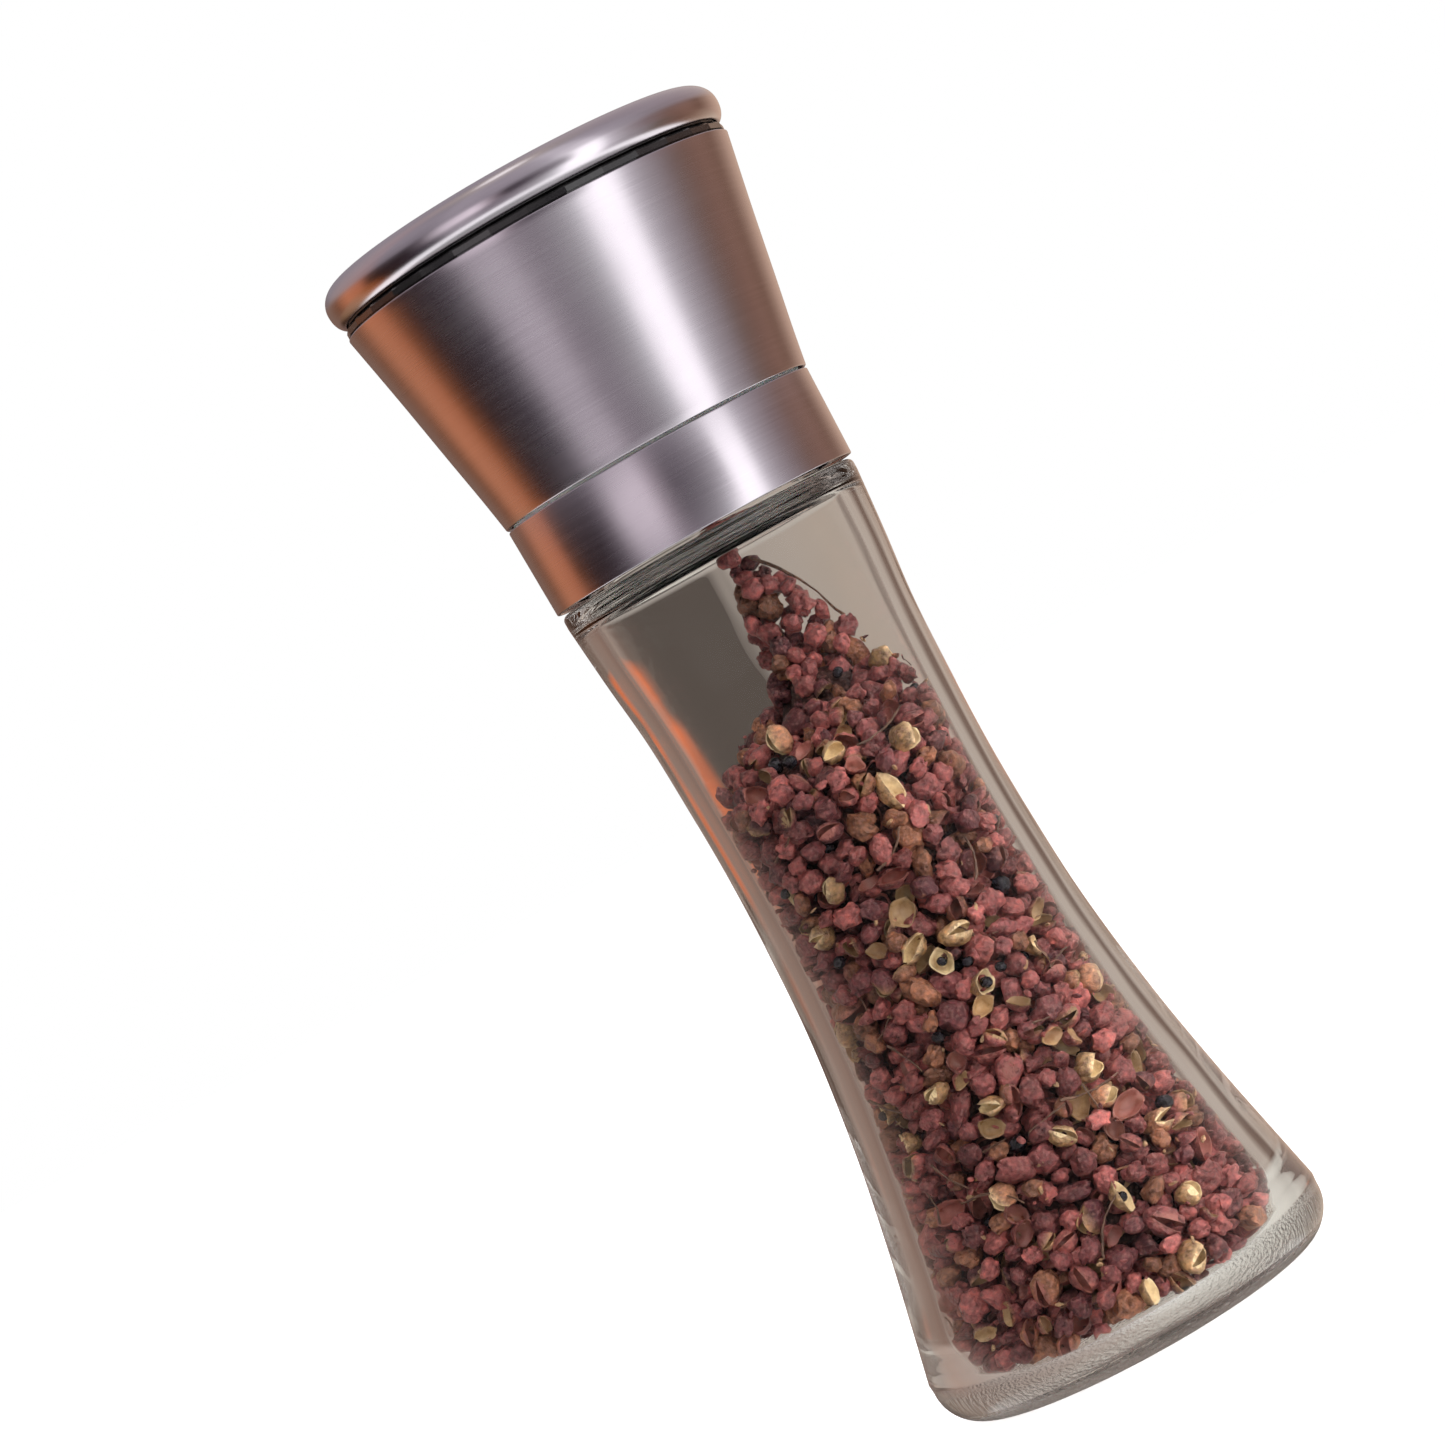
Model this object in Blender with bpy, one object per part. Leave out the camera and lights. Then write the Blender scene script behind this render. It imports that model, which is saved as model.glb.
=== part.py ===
"""A refillable pepper mill: a waisted glass jar under a stainless steel head with a ceramic burr set.

Lengths are in millimetres until MM turns them into Blender's metres. The mill stands on its jar, +Z up, and every
turned piece is centred on the Z axis. Peppercorns pass from the jar up through the collar, between the two burrs and
out of the top of the head, which is how the mill is used when it is held upside down.
"""

import math

import bmesh
import bpy

MM = 0.001
SEGMENTS = 32
THREAD_SEGMENTS = 24
FULL_TURN = 2 * math.pi

# Gaps between pieces.
FIT_GAP = 0.3
RUNNING_GAP = 0.4

# Jar: outer and inner wall, each as (height, radius) from the heel up to the shoulder.
JAR_FOOT_RADIUS = 25.6
JAR_HEEL = 6.3
JAR_PUSH_UP = 1.0
JAR_PUSH_UP_RADIUS = 19.0
JAR_OUTER = ((8.0, 32.0), (16.5, 30.1), (28.0, 27.6), (42.5, 24.9), (60.0, 22.6), (75.0, 21.7),
             (87.0, 21.45), (100.0, 21.75), (110.0, 22.2), (120.0, 23.25), (130.0, 24.15))
JAR_INNER = ((12.0, 26.3), (20.0, 24.6), (28.0, 23.2), (42.5, 20.9), (60.0, 19.1), (84.0, 18.3),
             (100.0, 18.6), (112.0, 19.2), (121.5, 20.1), (127.8, 20.5))
JAR_FLOOR = 3.8
JAR_FLOOR_CORNER = 4.6
SHOULDER_TOP = 131.9
SHOULDER_ROUND = 0.9
NECK_RADIUS = 19.3
NECK_BORE = 16.6
NECK_TOP = 145.4
LIP_ROUND = 0.7

# Neck thread, right-handed: the collar's ridge lies half a pitch below the jar's.
NECK_PITCH = 4.0
NECK_TURNS = 1.25
NECK_CREST = 20.6
NECK_THREAD_START = 136.9
RIDGE_FOOT = 2.0
RIDGE_CREST = 1.0
RIDGE_ROOT_OVERLAP = 0.5

# Collar: steel sleeve, threaded insert with its journal, and what is built into it.
COLLAR_BOTTOM = 132.4
COLLAR_TOP = 146.4
COLLAR_BOTTOM_RADIUS = 24.55
COLLAR_TOP_RADIUS = 24.9
SHEET = 0.6
INSERT_BOTTOM = 132.8
INSERT_DECK = 146.1
COLLAR_BORE = 21.0
COLLAR_RIDGE_CREST = 19.75
WEB_BOTTOM = 147.2
WEB_TOP = 149.6
WEB_BORE = 15.8
JOURNAL_RADIUS = 21.7
JOURNAL_BORE = 19.5
JOURNAL_TOP = 153.8
GROOVE_RADIUS = 20.9
GROOVE_BOTTOM = 151.7
GROOVE_TOP = 152.9
SEAL_INNER = 16.7
SEAL_OUTER = 20.3

# Spider, spindle and spring.
SPIDER_RIM = 19.2
SPIDER_RIM_BORE = 17.0
SPIDER_BOTTOM = 149.9
SPIDER_RIM_TOP = 152.6
SPIDER_ARM_WIDTH = 3.0
SPIDER_ARMS = 3
HUB_RADIUS = 5.6
HUB_TOP = 154.2
SPINDLE_SQUARE = 5.0
SPINDLE_FLANGE = 4.4
SPINDLE_BOTTOM = 147.8
SPINDLE_SHOULDER = 171.8
SPINDLE_TOP = 181.8
SPINDLE_ROOT = 1.85
SPINDLE_CREST = 2.45
SPINDLE_PITCH = 1.5
SPRING_WIRE = 0.7
SPRING_RADIUS = 4.7
SPRING_TURNS = 4

# Burr set. The inner burr's cone opens upwards, towards the mouth where the ground pepper leaves.
BURR_BOTTOM = 159.7
BURR_TOP = 171.0
BURR_SMALL = 9.2
BURR_LARGE = 14.6
BURR_BORE = 7.5
BURR_TOOTH = 0.9
BURR_TWIST = 0.55
RING_BOTTOM = 157.7
RING_TOP = 171.1
RING_RADIUS = 18.5
RING_MOUTH_GAP = 0.65
RING_THROAT_GAP = 3.0
RING_TOOTH = 1.1
DRIVER_RADIUS = 7.2
DRIVER_FLANGE = 10.0
DRIVER_TOP = 172.4

# Adjuster knob and its brass nut.
KNOB_BOTTOM = 173.7
KNOB_TOP = 184.8
KNOB_RADIUS = 8.3
KNOB_LOBES = 6
KNOB_LOBE_DEPTH = 0.7
NUT_RADIUS = 4.2
NUT_HEIGHT = 5.0
NUT_BORE = 2.75
NUT_CREST = 2.1
NUT_TURNS = 2.5

# Head: flared steel shell, liner, burr retainer and the ring that holds it on the journal.
HEAD_OUTLINE = ((146.8, 25.0), (152.4, 25.95), (159.6, 27.3), (171.0, 29.4), (182.2, 31.6))
HEAD_TOP = HEAD_OUTLINE[-1][0]
LINER_BOTTOM = 147.5
LINER_WALL = 1.5
LINER_RIM = 31.4
LINER_RIM_TOP = 183.6
MOUTH_RADIUS = 28.0
WELL_FLOOR_EDGE = 175.4
WELL_FLOOR = 173.6
WELL_FLOOR_SHEET = 1.8
OUTLET_RADIUS = 16.5
BARREL_RADIUS = 20.9
BARREL_BOTTOM = 154.8
LEDGE_BORE = 22.1
LEDGE_TOP = 151.4
RETAINER_BORE = 16.2
RETAINER_BOTTOM = 155.3
RETAINER_BEAD = 0.5
RETAINER_BEAD_HEIGHT = 1.1

# Cap: steel lid, plastic liner with a skirt, and its sealing ring.
CAP_BOTTOM = 184.0
CAP_BOTTOM_RADIUS = 31.5
CAP_RADIUS = 32.5
CAP_WIDEST = 186.9
CAP_FLAT_RADIUS = 29.0
CAP_EDGE = 190.2
CAP_TOP = 190.5
SKIRT_RADIUS = 27.4
SKIRT_BORE = 25.4
SKIRT_BOTTOM = 176.8
SKIRT_GROOVE = 179.8
SEAL_WIRE = 0.55
CAP_PLATE = 1.5

# Load of dried pepper: a low heap at the back of the jar, and a steep tongue up the back wall to the neck.
# Each is a cone that falls at its own rate to the left, the right and the front: (apex, left, right, front).
LOAD_HEAP = ((2.0, 15.0, 110.0), 0.5, 0.2, 0.5)
LOAD_TONGUE = ((2.0, 17.0, 133.0), 6.0, 1.6, 2.2)
LOAD_CONE_HEIGHT = 150.0


def clear_scene():
    for obj in list(bpy.data.objects):
        bpy.data.objects.remove(obj)


def finish(name, color, roughness, metallic=0.0, transmission=0.0):
    """One Principled material."""
    made = bpy.data.materials.new(name)
    made.use_nodes = True
    shader = made.node_tree.nodes["Principled BSDF"]
    shader.inputs["Base Color"].default_value = (*color, 1.0)
    shader.inputs["Roughness"].default_value = roughness
    shader.inputs["Metallic"].default_value = metallic
    shader.inputs["Transmission Weight"].default_value = transmission
    return made


def finishes():
    return {
        "glass": finish("clear_glass", (0.95, 0.97, 0.95), 0.02, transmission=1.0),
        "brushed": finish("brushed_stainless", (0.62, 0.59, 0.62), 0.28, metallic=1.0),
        "steel": finish("spring_steel", (0.55, 0.55, 0.57), 0.3, metallic=1.0),
        "brass": finish("brass", (0.72, 0.55, 0.26), 0.3, metallic=1.0),
        "plastic": finish("black_plastic", (0.02, 0.02, 0.022), 0.4),
        "ceramic": finish("white_ceramic", (0.88, 0.87, 0.84), 0.35),
        "silicone": finish("silicone", (0.6, 0.6, 0.58), 0.5),
        "pepper": finish("dried_pepper", (0.3, 0.1, 0.09), 0.8),
    }


def arc(center, radius, start, end, steps):
    """Points (radius, height) round a corner, angles in degrees from the outward direction."""
    turn = [math.radians(start + (end - start) * i / steps) for i in range(steps + 1)]
    return [(center[0] + radius * math.cos(a), center[1] + radius * math.sin(a)) for a in turn]


def radius_at(outline, height):
    """Radius of a smooth outline at a height: a cubic through its (height, radius) points."""
    heights = [point[0] for point in outline]
    radii = [point[1] for point in outline]
    last = len(outline) - 1
    slopes = [(radii[min(i + 1, last)] - radii[max(i - 1, 0)])
              / (heights[min(i + 1, last)] - heights[max(i - 1, 0)]) for i in range(last + 1)]
    i = max(k for k in range(last) if k == 0 or heights[k] <= height)
    span = heights[i + 1] - heights[i]
    t = (height - heights[i]) / span
    return ((2 * t**3 - 3 * t**2 + 1) * radii[i] + (t**3 - 2 * t**2 + t) * span * slopes[i]
            + (3 * t**2 - 2 * t**3) * radii[i + 1] + (t**3 - t**2) * span * slopes[i + 1])


def stations(outline, count, inset=0.0):
    """Points (radius, height) evenly up a smooth outline, moved towards the axis by inset."""
    low, high = outline[0][0], outline[-1][0]
    heights = [low + (high - low) * i / (count - 1) for i in range(count)]
    return [(radius_at(outline, height) - inset, height) for height in heights]


def solid(name, bm, material=None):
    """An object from a closed bmesh."""
    bmesh.ops.recalc_face_normals(bm, faces=bm.faces)
    mesh = bpy.data.meshes.new(name)
    bm.to_mesh(mesh)
    bm.free()
    mesh.shade_smooth()
    mesh.set_sharp_from_angle(angle=math.radians(35))
    obj = bpy.data.objects.new(name, mesh)
    bpy.context.scene.collection.objects.link(obj)
    if material:
        mesh.materials.append(material)
    return obj


def lathe(name, profile, material=None, segments=SEGMENTS, reshape=None):
    """A turned solid. The profile is closed by itself, or along the axis where both its ends lie on it.

    reshape(radius, height, angle) gives a new radius, for teeth and lobes.
    """
    bm = bmesh.new()
    points = [bm.verts.new((radius * MM, 0.0, height * MM)) for radius, height in profile]
    on_axis = profile[0][0] == 0 and profile[-1][0] == 0
    following = points[1:] if on_axis else points[1:] + points[:1]
    edges = [bm.edges.new(pair) for pair in zip(points, following)]
    bmesh.ops.spin(bm, geom=points + edges, axis=(0, 0, 1), cent=(0, 0, 0),
                   angle=FULL_TURN, steps=segments, use_merge=True)
    bmesh.ops.remove_doubles(bm, verts=bm.verts, dist=1e-6)
    if reshape:
        for vert in bm.verts:
            radius = math.hypot(vert.co.x, vert.co.y)
            angle = math.atan2(vert.co.y, vert.co.x)
            changed = reshape(radius / MM, vert.co.z / MM, angle) * MM
            vert.co.x = changed * math.cos(angle)
            vert.co.y = changed * math.sin(angle)
    return solid(name, bm, material)


def ring(name, inner, outer, bottom, top, material=None, segments=SEGMENTS):
    return lathe(name, [(inner, bottom), (outer, bottom), (outer, top), (inner, top)], material, segments)


def block(name, size, center, turn=0.0):
    """A cuboid turned about Z through its own centre's radius."""
    bm = bmesh.new()
    bmesh.ops.create_cube(bm, size=1.0)
    bmesh.ops.scale(bm, vec=[side * MM for side in size], verts=bm.verts)
    bmesh.ops.translate(bm, vec=[side * MM for side in center], verts=bm.verts)
    obj = solid(name, bm)
    obj.rotation_euler.z = turn
    return obj


def helical_ridge(name, foot, crest, pitch, turns, start, widths, segments=THREAD_SEGMENTS):
    """A right-handed thread ridge as a closed tube of four corners, run out into its wall at both ends."""
    foot_half, crest_half = widths[0] / 2, widths[1] / 2
    steps = round(turns * segments)
    bm = bmesh.new()
    loops = []
    for i in range(steps + 1):
        angle = FULL_TURN * i / segments
        height = start + pitch * i / segments
        fade = min(1.0, i / 3, (steps - i) / 3)
        tip = foot + (crest - foot) * (0.45 + 0.55 * fade)
        corners = ((foot, -foot_half), (tip, -crest_half), (tip, crest_half), (foot, foot_half))
        loops.append([bm.verts.new((r * MM * math.cos(angle), r * MM * math.sin(angle), (height + dz) * MM))
                      for r, dz in corners])
    for here, there in zip(loops, loops[1:]):
        for k in range(4):
            bm.faces.new((here[k], here[(k + 1) % 4], there[(k + 1) % 4], there[k]))
    bm.faces.new(loops[0])
    bm.faces.new(loops[-1])
    return solid(name, bm)


def combine(obj, other, operation):
    """Joins a helper to obj, or cuts or intersects obj with it, and keeps the helper out of the model."""
    modifier = obj.modifiers.new(other.name, "BOOLEAN")
    modifier.operation = operation
    modifier.object = other
    other.hide_render = True
    other.display_type = "WIRE"


def jar_wall(inset=0.0):
    """The cavity's outline from its floor to the top of the neck bore, moved inwards by inset."""
    floor = JAR_FLOOR + inset
    corner = JAR_FLOOR_CORNER
    wall_radius = JAR_INNER[0][1] - inset
    throat = NECK_BORE - inset
    return ([(0.0, floor + 0.4)]
            + arc((wall_radius - corner, floor + corner), corner, -90, -8, 3)
            + stations(JAR_INNER, 8, inset)
            + [(throat + 3.0, SHOULDER_TOP - 2.9), (throat + 1.2, SHOULDER_TOP - 2.1), (throat, SHOULDER_TOP - 1.0)])


def glass_jar(material):
    heel = (JAR_FOOT_RADIUS, JAR_HEEL)
    shoulder = (JAR_OUTER[-1][1] - SHOULDER_ROUND, SHOULDER_TOP - SHOULDER_ROUND)
    outside = ([(0.0, JAR_PUSH_UP + 0.4), (JAR_PUSH_UP_RADIUS, JAR_PUSH_UP), (JAR_PUSH_UP_RADIUS + 1.6, 0.0)]
               + arc(heel, JAR_HEEL, -90, 0, 4)
               + stations(JAR_OUTER, 10)
               + arc(shoulder, SHOULDER_ROUND, 25, 90, 2)
               + [(NECK_RADIUS + 0.3, SHOULDER_TOP), (NECK_RADIUS, SHOULDER_TOP + 0.4)]
               + arc((NECK_RADIUS - LIP_ROUND, NECK_TOP - LIP_ROUND), LIP_ROUND, 0, 90, 1)
               + arc((NECK_BORE + LIP_ROUND, NECK_TOP - LIP_ROUND), LIP_ROUND, 90, 180, 1))
    inside = [(NECK_BORE, SHOULDER_TOP + 0.8)] + list(reversed(jar_wall()))
    jar = lathe("glass_jar", outside + inside, material)
    ridge = helical_ridge("jar_ridge", NECK_RADIUS - RIDGE_ROOT_OVERLAP, NECK_CREST, NECK_PITCH, NECK_TURNS,
                          NECK_THREAD_START, (RIDGE_FOOT, RIDGE_CREST), SEGMENTS)
    combine(jar, ridge, "UNION")


def load_cone(name, apex, left_slope, right_slope, front_slope):
    bm = bmesh.new()
    bmesh.ops.create_cone(bm, cap_ends=True, segments=SEGMENTS, depth=LOAD_CONE_HEIGHT * MM,
                          radius1=LOAD_CONE_HEIGHT * MM, radius2=0.0)
    for vert in bm.verts:
        vert.co.x /= left_slope if vert.co.x < 0 else right_slope
        vert.co.y /= front_slope
    x, y, top = apex
    bmesh.ops.translate(bm, vec=(x * MM, y * MM, (top - LOAD_CONE_HEIGHT / 2) * MM), verts=bm.verts)
    return solid(name, bm)


def peppercorn_fill(material):
    """The load: the cavity's shape up to the heap and the tongue."""
    load = lathe("peppercorn_fill", jar_wall(FIT_GAP) + [(0.0, SHOULDER_TOP - 0.6)], material)
    heap = load_cone("load_heap", *LOAD_HEAP)
    combine(heap, load_cone("load_tongue", *LOAD_TONGUE), "UNION")
    combine(load, heap, "INTERSECT")


def neck_seal(material):
    ring("neck_seal", SEAL_INNER, SEAL_OUTER, NECK_TOP + FIT_GAP, WEB_BOTTOM - FIT_GAP, material)


def collar_sleeve(material):
    lathe("collar_sleeve", [
        (COLLAR_BOTTOM_RADIUS - SHEET, COLLAR_BOTTOM), (COLLAR_BOTTOM_RADIUS - 0.15, COLLAR_BOTTOM),
        (COLLAR_BOTTOM_RADIUS, COLLAR_BOTTOM + 0.2), (COLLAR_TOP_RADIUS, COLLAR_TOP - 0.2),
        (COLLAR_TOP_RADIUS - 0.15, COLLAR_TOP), (COLLAR_TOP_RADIUS - SHEET, COLLAR_TOP)], material)


def collar_insert(material):
    skirt = COLLAR_BOTTOM_RADIUS - SHEET - FIT_GAP
    insert = lathe("collar_insert", [
        (COLLAR_BORE, INSERT_BOTTOM), (skirt, INSERT_BOTTOM), (skirt, INSERT_DECK),
        (JOURNAL_RADIUS, INSERT_DECK), (JOURNAL_RADIUS, GROOVE_BOTTOM), (GROOVE_RADIUS, GROOVE_BOTTOM),
        (GROOVE_RADIUS, GROOVE_TOP), (JOURNAL_RADIUS, GROOVE_TOP), (JOURNAL_RADIUS - 0.3, JOURNAL_TOP),
        (JOURNAL_BORE, JOURNAL_TOP), (JOURNAL_BORE, WEB_TOP), (WEB_BORE, WEB_TOP),
        (WEB_BORE, WEB_BOTTOM), (COLLAR_BORE, WEB_BOTTOM)], material)
    ridge = helical_ridge("collar_ridge", COLLAR_BORE + RIDGE_ROOT_OVERLAP, COLLAR_RIDGE_CREST, NECK_PITCH,
                          NECK_TURNS, NECK_THREAD_START - NECK_PITCH / 2, (RIDGE_FOOT, RIDGE_CREST), SEGMENTS)
    combine(insert, ridge, "UNION")


def thrust_washer(material):
    ring("thrust_washer", JOURNAL_RADIUS + RUNNING_GAP, COLLAR_TOP_RADIUS - SHEET - FIT_GAP - 0.2,
         INSERT_DECK + FIT_GAP, LINER_BOTTOM - FIT_GAP, material)


def retaining_ring(material):
    """A snap ring in the journal's groove, open over a short arc so that it can spring over."""
    snap = ring("retaining_ring", GROOVE_RADIUS + 0.25, JOURNAL_RADIUS + 1.1,
                GROOVE_BOTTOM + 0.25, GROOVE_TOP - 0.25, material)
    combine(snap, block("snap_gap", (6.0, 5.0, 4.0), (JOURNAL_RADIUS, 0.0, GROOVE_BOTTOM)), "DIFFERENCE")


def drive_spider(material):
    spider = ring("drive_spider", SPIDER_RIM_BORE, SPIDER_RIM, SPIDER_BOTTOM, SPIDER_RIM_TOP, material)
    combine(spider, lathe("spider_hub", [(0.0, SPIDER_BOTTOM), (HUB_RADIUS, SPIDER_BOTTOM),
                                         (HUB_RADIUS, HUB_TOP), (0.0, HUB_TOP)], segments=24), "UNION")
    middle = (HUB_RADIUS + SPIDER_RIM_BORE) / 2
    reach = SPIDER_RIM_BORE - HUB_RADIUS + 2.4
    for k in range(SPIDER_ARMS):
        arm = block(f"spider_arm_{k + 1}", (reach, SPIDER_ARM_WIDTH, SPIDER_RIM_TOP - SPIDER_BOTTOM - 0.4),
                    (middle, 0.0, (SPIDER_RIM_TOP + SPIDER_BOTTOM) / 2), FULL_TURN * (k + 0.25) / SPIDER_ARMS)
        combine(spider, arm, "UNION")
    socket = SPINDLE_SQUARE + 2 * FIT_GAP
    combine(spider, block("spider_socket", (socket, socket, 20.0), (0.0, 0.0, HUB_TOP)), "DIFFERENCE")


def spindle(material):
    """Flange, square shaft and threaded end."""
    rod = lathe("spindle", [(0.0, SPINDLE_BOTTOM), (SPINDLE_FLANGE, SPINDLE_BOTTOM),
                            (SPINDLE_FLANGE, SPIDER_BOTTOM - FIT_GAP), (SPINDLE_ROOT, SPIDER_BOTTOM - FIT_GAP),
                            (SPINDLE_ROOT, SPINDLE_TOP - 0.5), (SPINDLE_ROOT - 0.5, SPINDLE_TOP),
                            (0.0, SPINDLE_TOP)], material, segments=16)
    low = SPIDER_BOTTOM - 1.0
    square = block("spindle_square", (SPINDLE_SQUARE, SPINDLE_SQUARE, SPINDLE_SHOULDER - low),
                   (0.0, 0.0, (SPINDLE_SHOULDER + low) / 2))
    combine(rod, square, "UNION")
    turns = (SPINDLE_TOP - SPINDLE_SHOULDER - 2.0) / SPINDLE_PITCH
    ridge = helical_ridge("spindle_ridge", SPINDLE_ROOT - 0.3, SPINDLE_CREST, SPINDLE_PITCH, turns,
                          SPINDLE_SHOULDER + 1.0, (0.8, 0.35), segments=12)
    combine(rod, ridge, "UNION")


def burr_spring(material):
    """The compression spring between the spider's hub and the inner burr's driver."""
    low = HUB_TOP + FIT_GAP + SPRING_WIRE / 2
    high = BURR_BOTTOM - FIT_GAP - SPRING_WIRE / 2
    steps = round(SPRING_TURNS * 12)
    curve = bpy.data.curves.new("burr_spring", "CURVE")
    curve.dimensions = "3D"
    line = curve.splines.new("POLY")
    line.points.add(steps)
    for i, point in enumerate(line.points):
        angle = FULL_TURN * SPRING_TURNS * i / steps
        height = low + (high - low) * i / steps
        point.co = (SPRING_RADIUS * MM * math.cos(angle), SPRING_RADIUS * MM * math.sin(angle), height * MM, 1.0)
    curve.bevel_depth = SPRING_WIRE / 2 * MM
    curve.bevel_resolution = 1
    curve.use_fill_caps = True
    curve.materials.append(material)
    bpy.context.scene.collection.objects.link(bpy.data.objects.new("burr_spring", curve))


def burr_radius(height):
    """Tooth crest of the inner burr at a height."""
    share = (height - BURR_BOTTOM) / (BURR_TOP - BURR_BOTTOM)
    return BURR_SMALL + (BURR_LARGE - BURR_SMALL) * share


def toothed(angle):
    """1 on a tooth's crest and 0 in its root, for teeth one segment apart."""
    return 1.0 if round(angle / FULL_TURN * SEGMENTS) % 2 == 0 else 0.0


def inner_burr(material):
    """A ceramic cone whose teeth follow a steep helix."""
    levels = 4
    heights = [BURR_BOTTOM + (BURR_TOP - BURR_BOTTOM) * i / levels for i in range(levels + 1)]
    profile = [(BURR_BORE, BURR_BOTTOM)] + [(burr_radius(h), h) for h in heights] + [(BURR_BORE, BURR_TOP)]

    def tooth(radius, height, angle):
        depth = BURR_TOOTH * (1.25 - 0.65 * (height - BURR_BOTTOM) / (BURR_TOP - BURR_BOTTOM))
        return radius - depth * (1 - toothed(angle)) if radius > BURR_BORE + 0.5 else radius

    burr = lathe("inner_burr", profile, material, reshape=tooth)
    for vert in burr.data.vertices:
        twist = BURR_TWIST * (vert.co.z / MM - BURR_BOTTOM) / (BURR_TOP - BURR_BOTTOM)
        if math.hypot(vert.co.x, vert.co.y) > (BURR_BORE + 0.5) * MM:
            x, y = vert.co.x, vert.co.y
            vert.co.x = x * math.cos(twist) - y * math.sin(twist)
            vert.co.y = x * math.sin(twist) + y * math.cos(twist)


def outer_burr(material):
    """The ceramic ring round the inner burr, with upright teeth and four lugs that key it into the liner."""
    mouth = BURR_LARGE + RING_MOUTH_GAP
    throat = burr_radius(BURR_BOTTOM) + RING_THROAT_GAP

    def tooth(radius, height, angle):
        if radius < mouth + 0.1:
            return radius + RING_TOOTH * (1 - toothed(angle)) * (1.0 if height < RING_TOP - 2.0 else 0.6)
        return radius - 0.6 if abs(math.cos(2 * angle)) < 0.17 else radius

    lathe("outer_burr", [(throat, RING_BOTTOM), (RING_RADIUS, RING_BOTTOM), (RING_RADIUS, RING_TOP),
                         (mouth, RING_TOP), (mouth - 0.6, RING_TOP - 3.0)], material, reshape=tooth)


def burr_driver(material):
    """The square-bored bush that carries the inner burr on the spindle."""
    bush = lathe("burr_driver", [(0.0, BURR_BOTTOM), (DRIVER_RADIUS, BURR_BOTTOM),
                                 (DRIVER_RADIUS, BURR_TOP + FIT_GAP), (DRIVER_FLANGE, BURR_TOP + FIT_GAP),
                                 (DRIVER_FLANGE, DRIVER_TOP), (0.0, DRIVER_TOP)], material, segments=24)
    bore = SPINDLE_SQUARE + 2 * FIT_GAP
    combine(bush, block("driver_bore", (bore, bore, 40.0), (0.0, 0.0, BURR_TOP)), "DIFFERENCE")


def knob_washer(material):
    ring("knob_washer", 4.0, 7.6, DRIVER_TOP + 0.25, KNOB_BOTTOM - 0.25, material, segments=24)


def adjuster_knob(material):
    """The lobed coarseness knob, hollow for its nut and blind at the top."""
    def lobe(radius, height, angle):
        lobed = radius > KNOB_RADIUS - 1.0
        return radius - KNOB_LOBE_DEPTH * (0.5 - 0.5 * math.cos(KNOB_LOBES * angle)) if lobed else radius

    pocket = NUT_RADIUS + 0.3
    lathe("adjuster_knob", [
        (pocket, KNOB_BOTTOM), (KNOB_RADIUS, KNOB_BOTTOM), (KNOB_RADIUS, KNOB_TOP - 1.2),
        (KNOB_RADIUS - 0.9, KNOB_TOP), (0.0, KNOB_TOP)][::-1]
          + [(pocket, KNOB_BOTTOM + NUT_HEIGHT + 0.3), (3.2, KNOB_BOTTOM + NUT_HEIGHT + 0.3),
             (3.2, SPINDLE_TOP + 1.4), (0.0, SPINDLE_TOP + 1.4)], material, reshape=lobe)


def knob_nut(material):
    nut = ring("knob_nut", NUT_BORE, NUT_RADIUS, KNOB_BOTTOM, KNOB_BOTTOM + NUT_HEIGHT, material, segments=24)
    thread_phase = (KNOB_BOTTOM + 0.9 - SPINDLE_SHOULDER - 1.0 - SPINDLE_PITCH / 2) / SPINDLE_PITCH
    ridge = helical_ridge("nut_ridge", NUT_BORE + 0.3, NUT_CREST, SPINDLE_PITCH, NUT_TURNS,
                          KNOB_BOTTOM + 0.9, (0.7, 0.3), segments=12)
    ridge.rotation_euler.z = FULL_TURN * thread_phase
    combine(nut, ridge, "UNION")


def head_shell(material):
    outside = stations(HEAD_OUTLINE, 6)
    inside = stations(HEAD_OUTLINE, 6, SHEET)
    lathe("head_shell", outside + inside[::-1], material)


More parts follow.
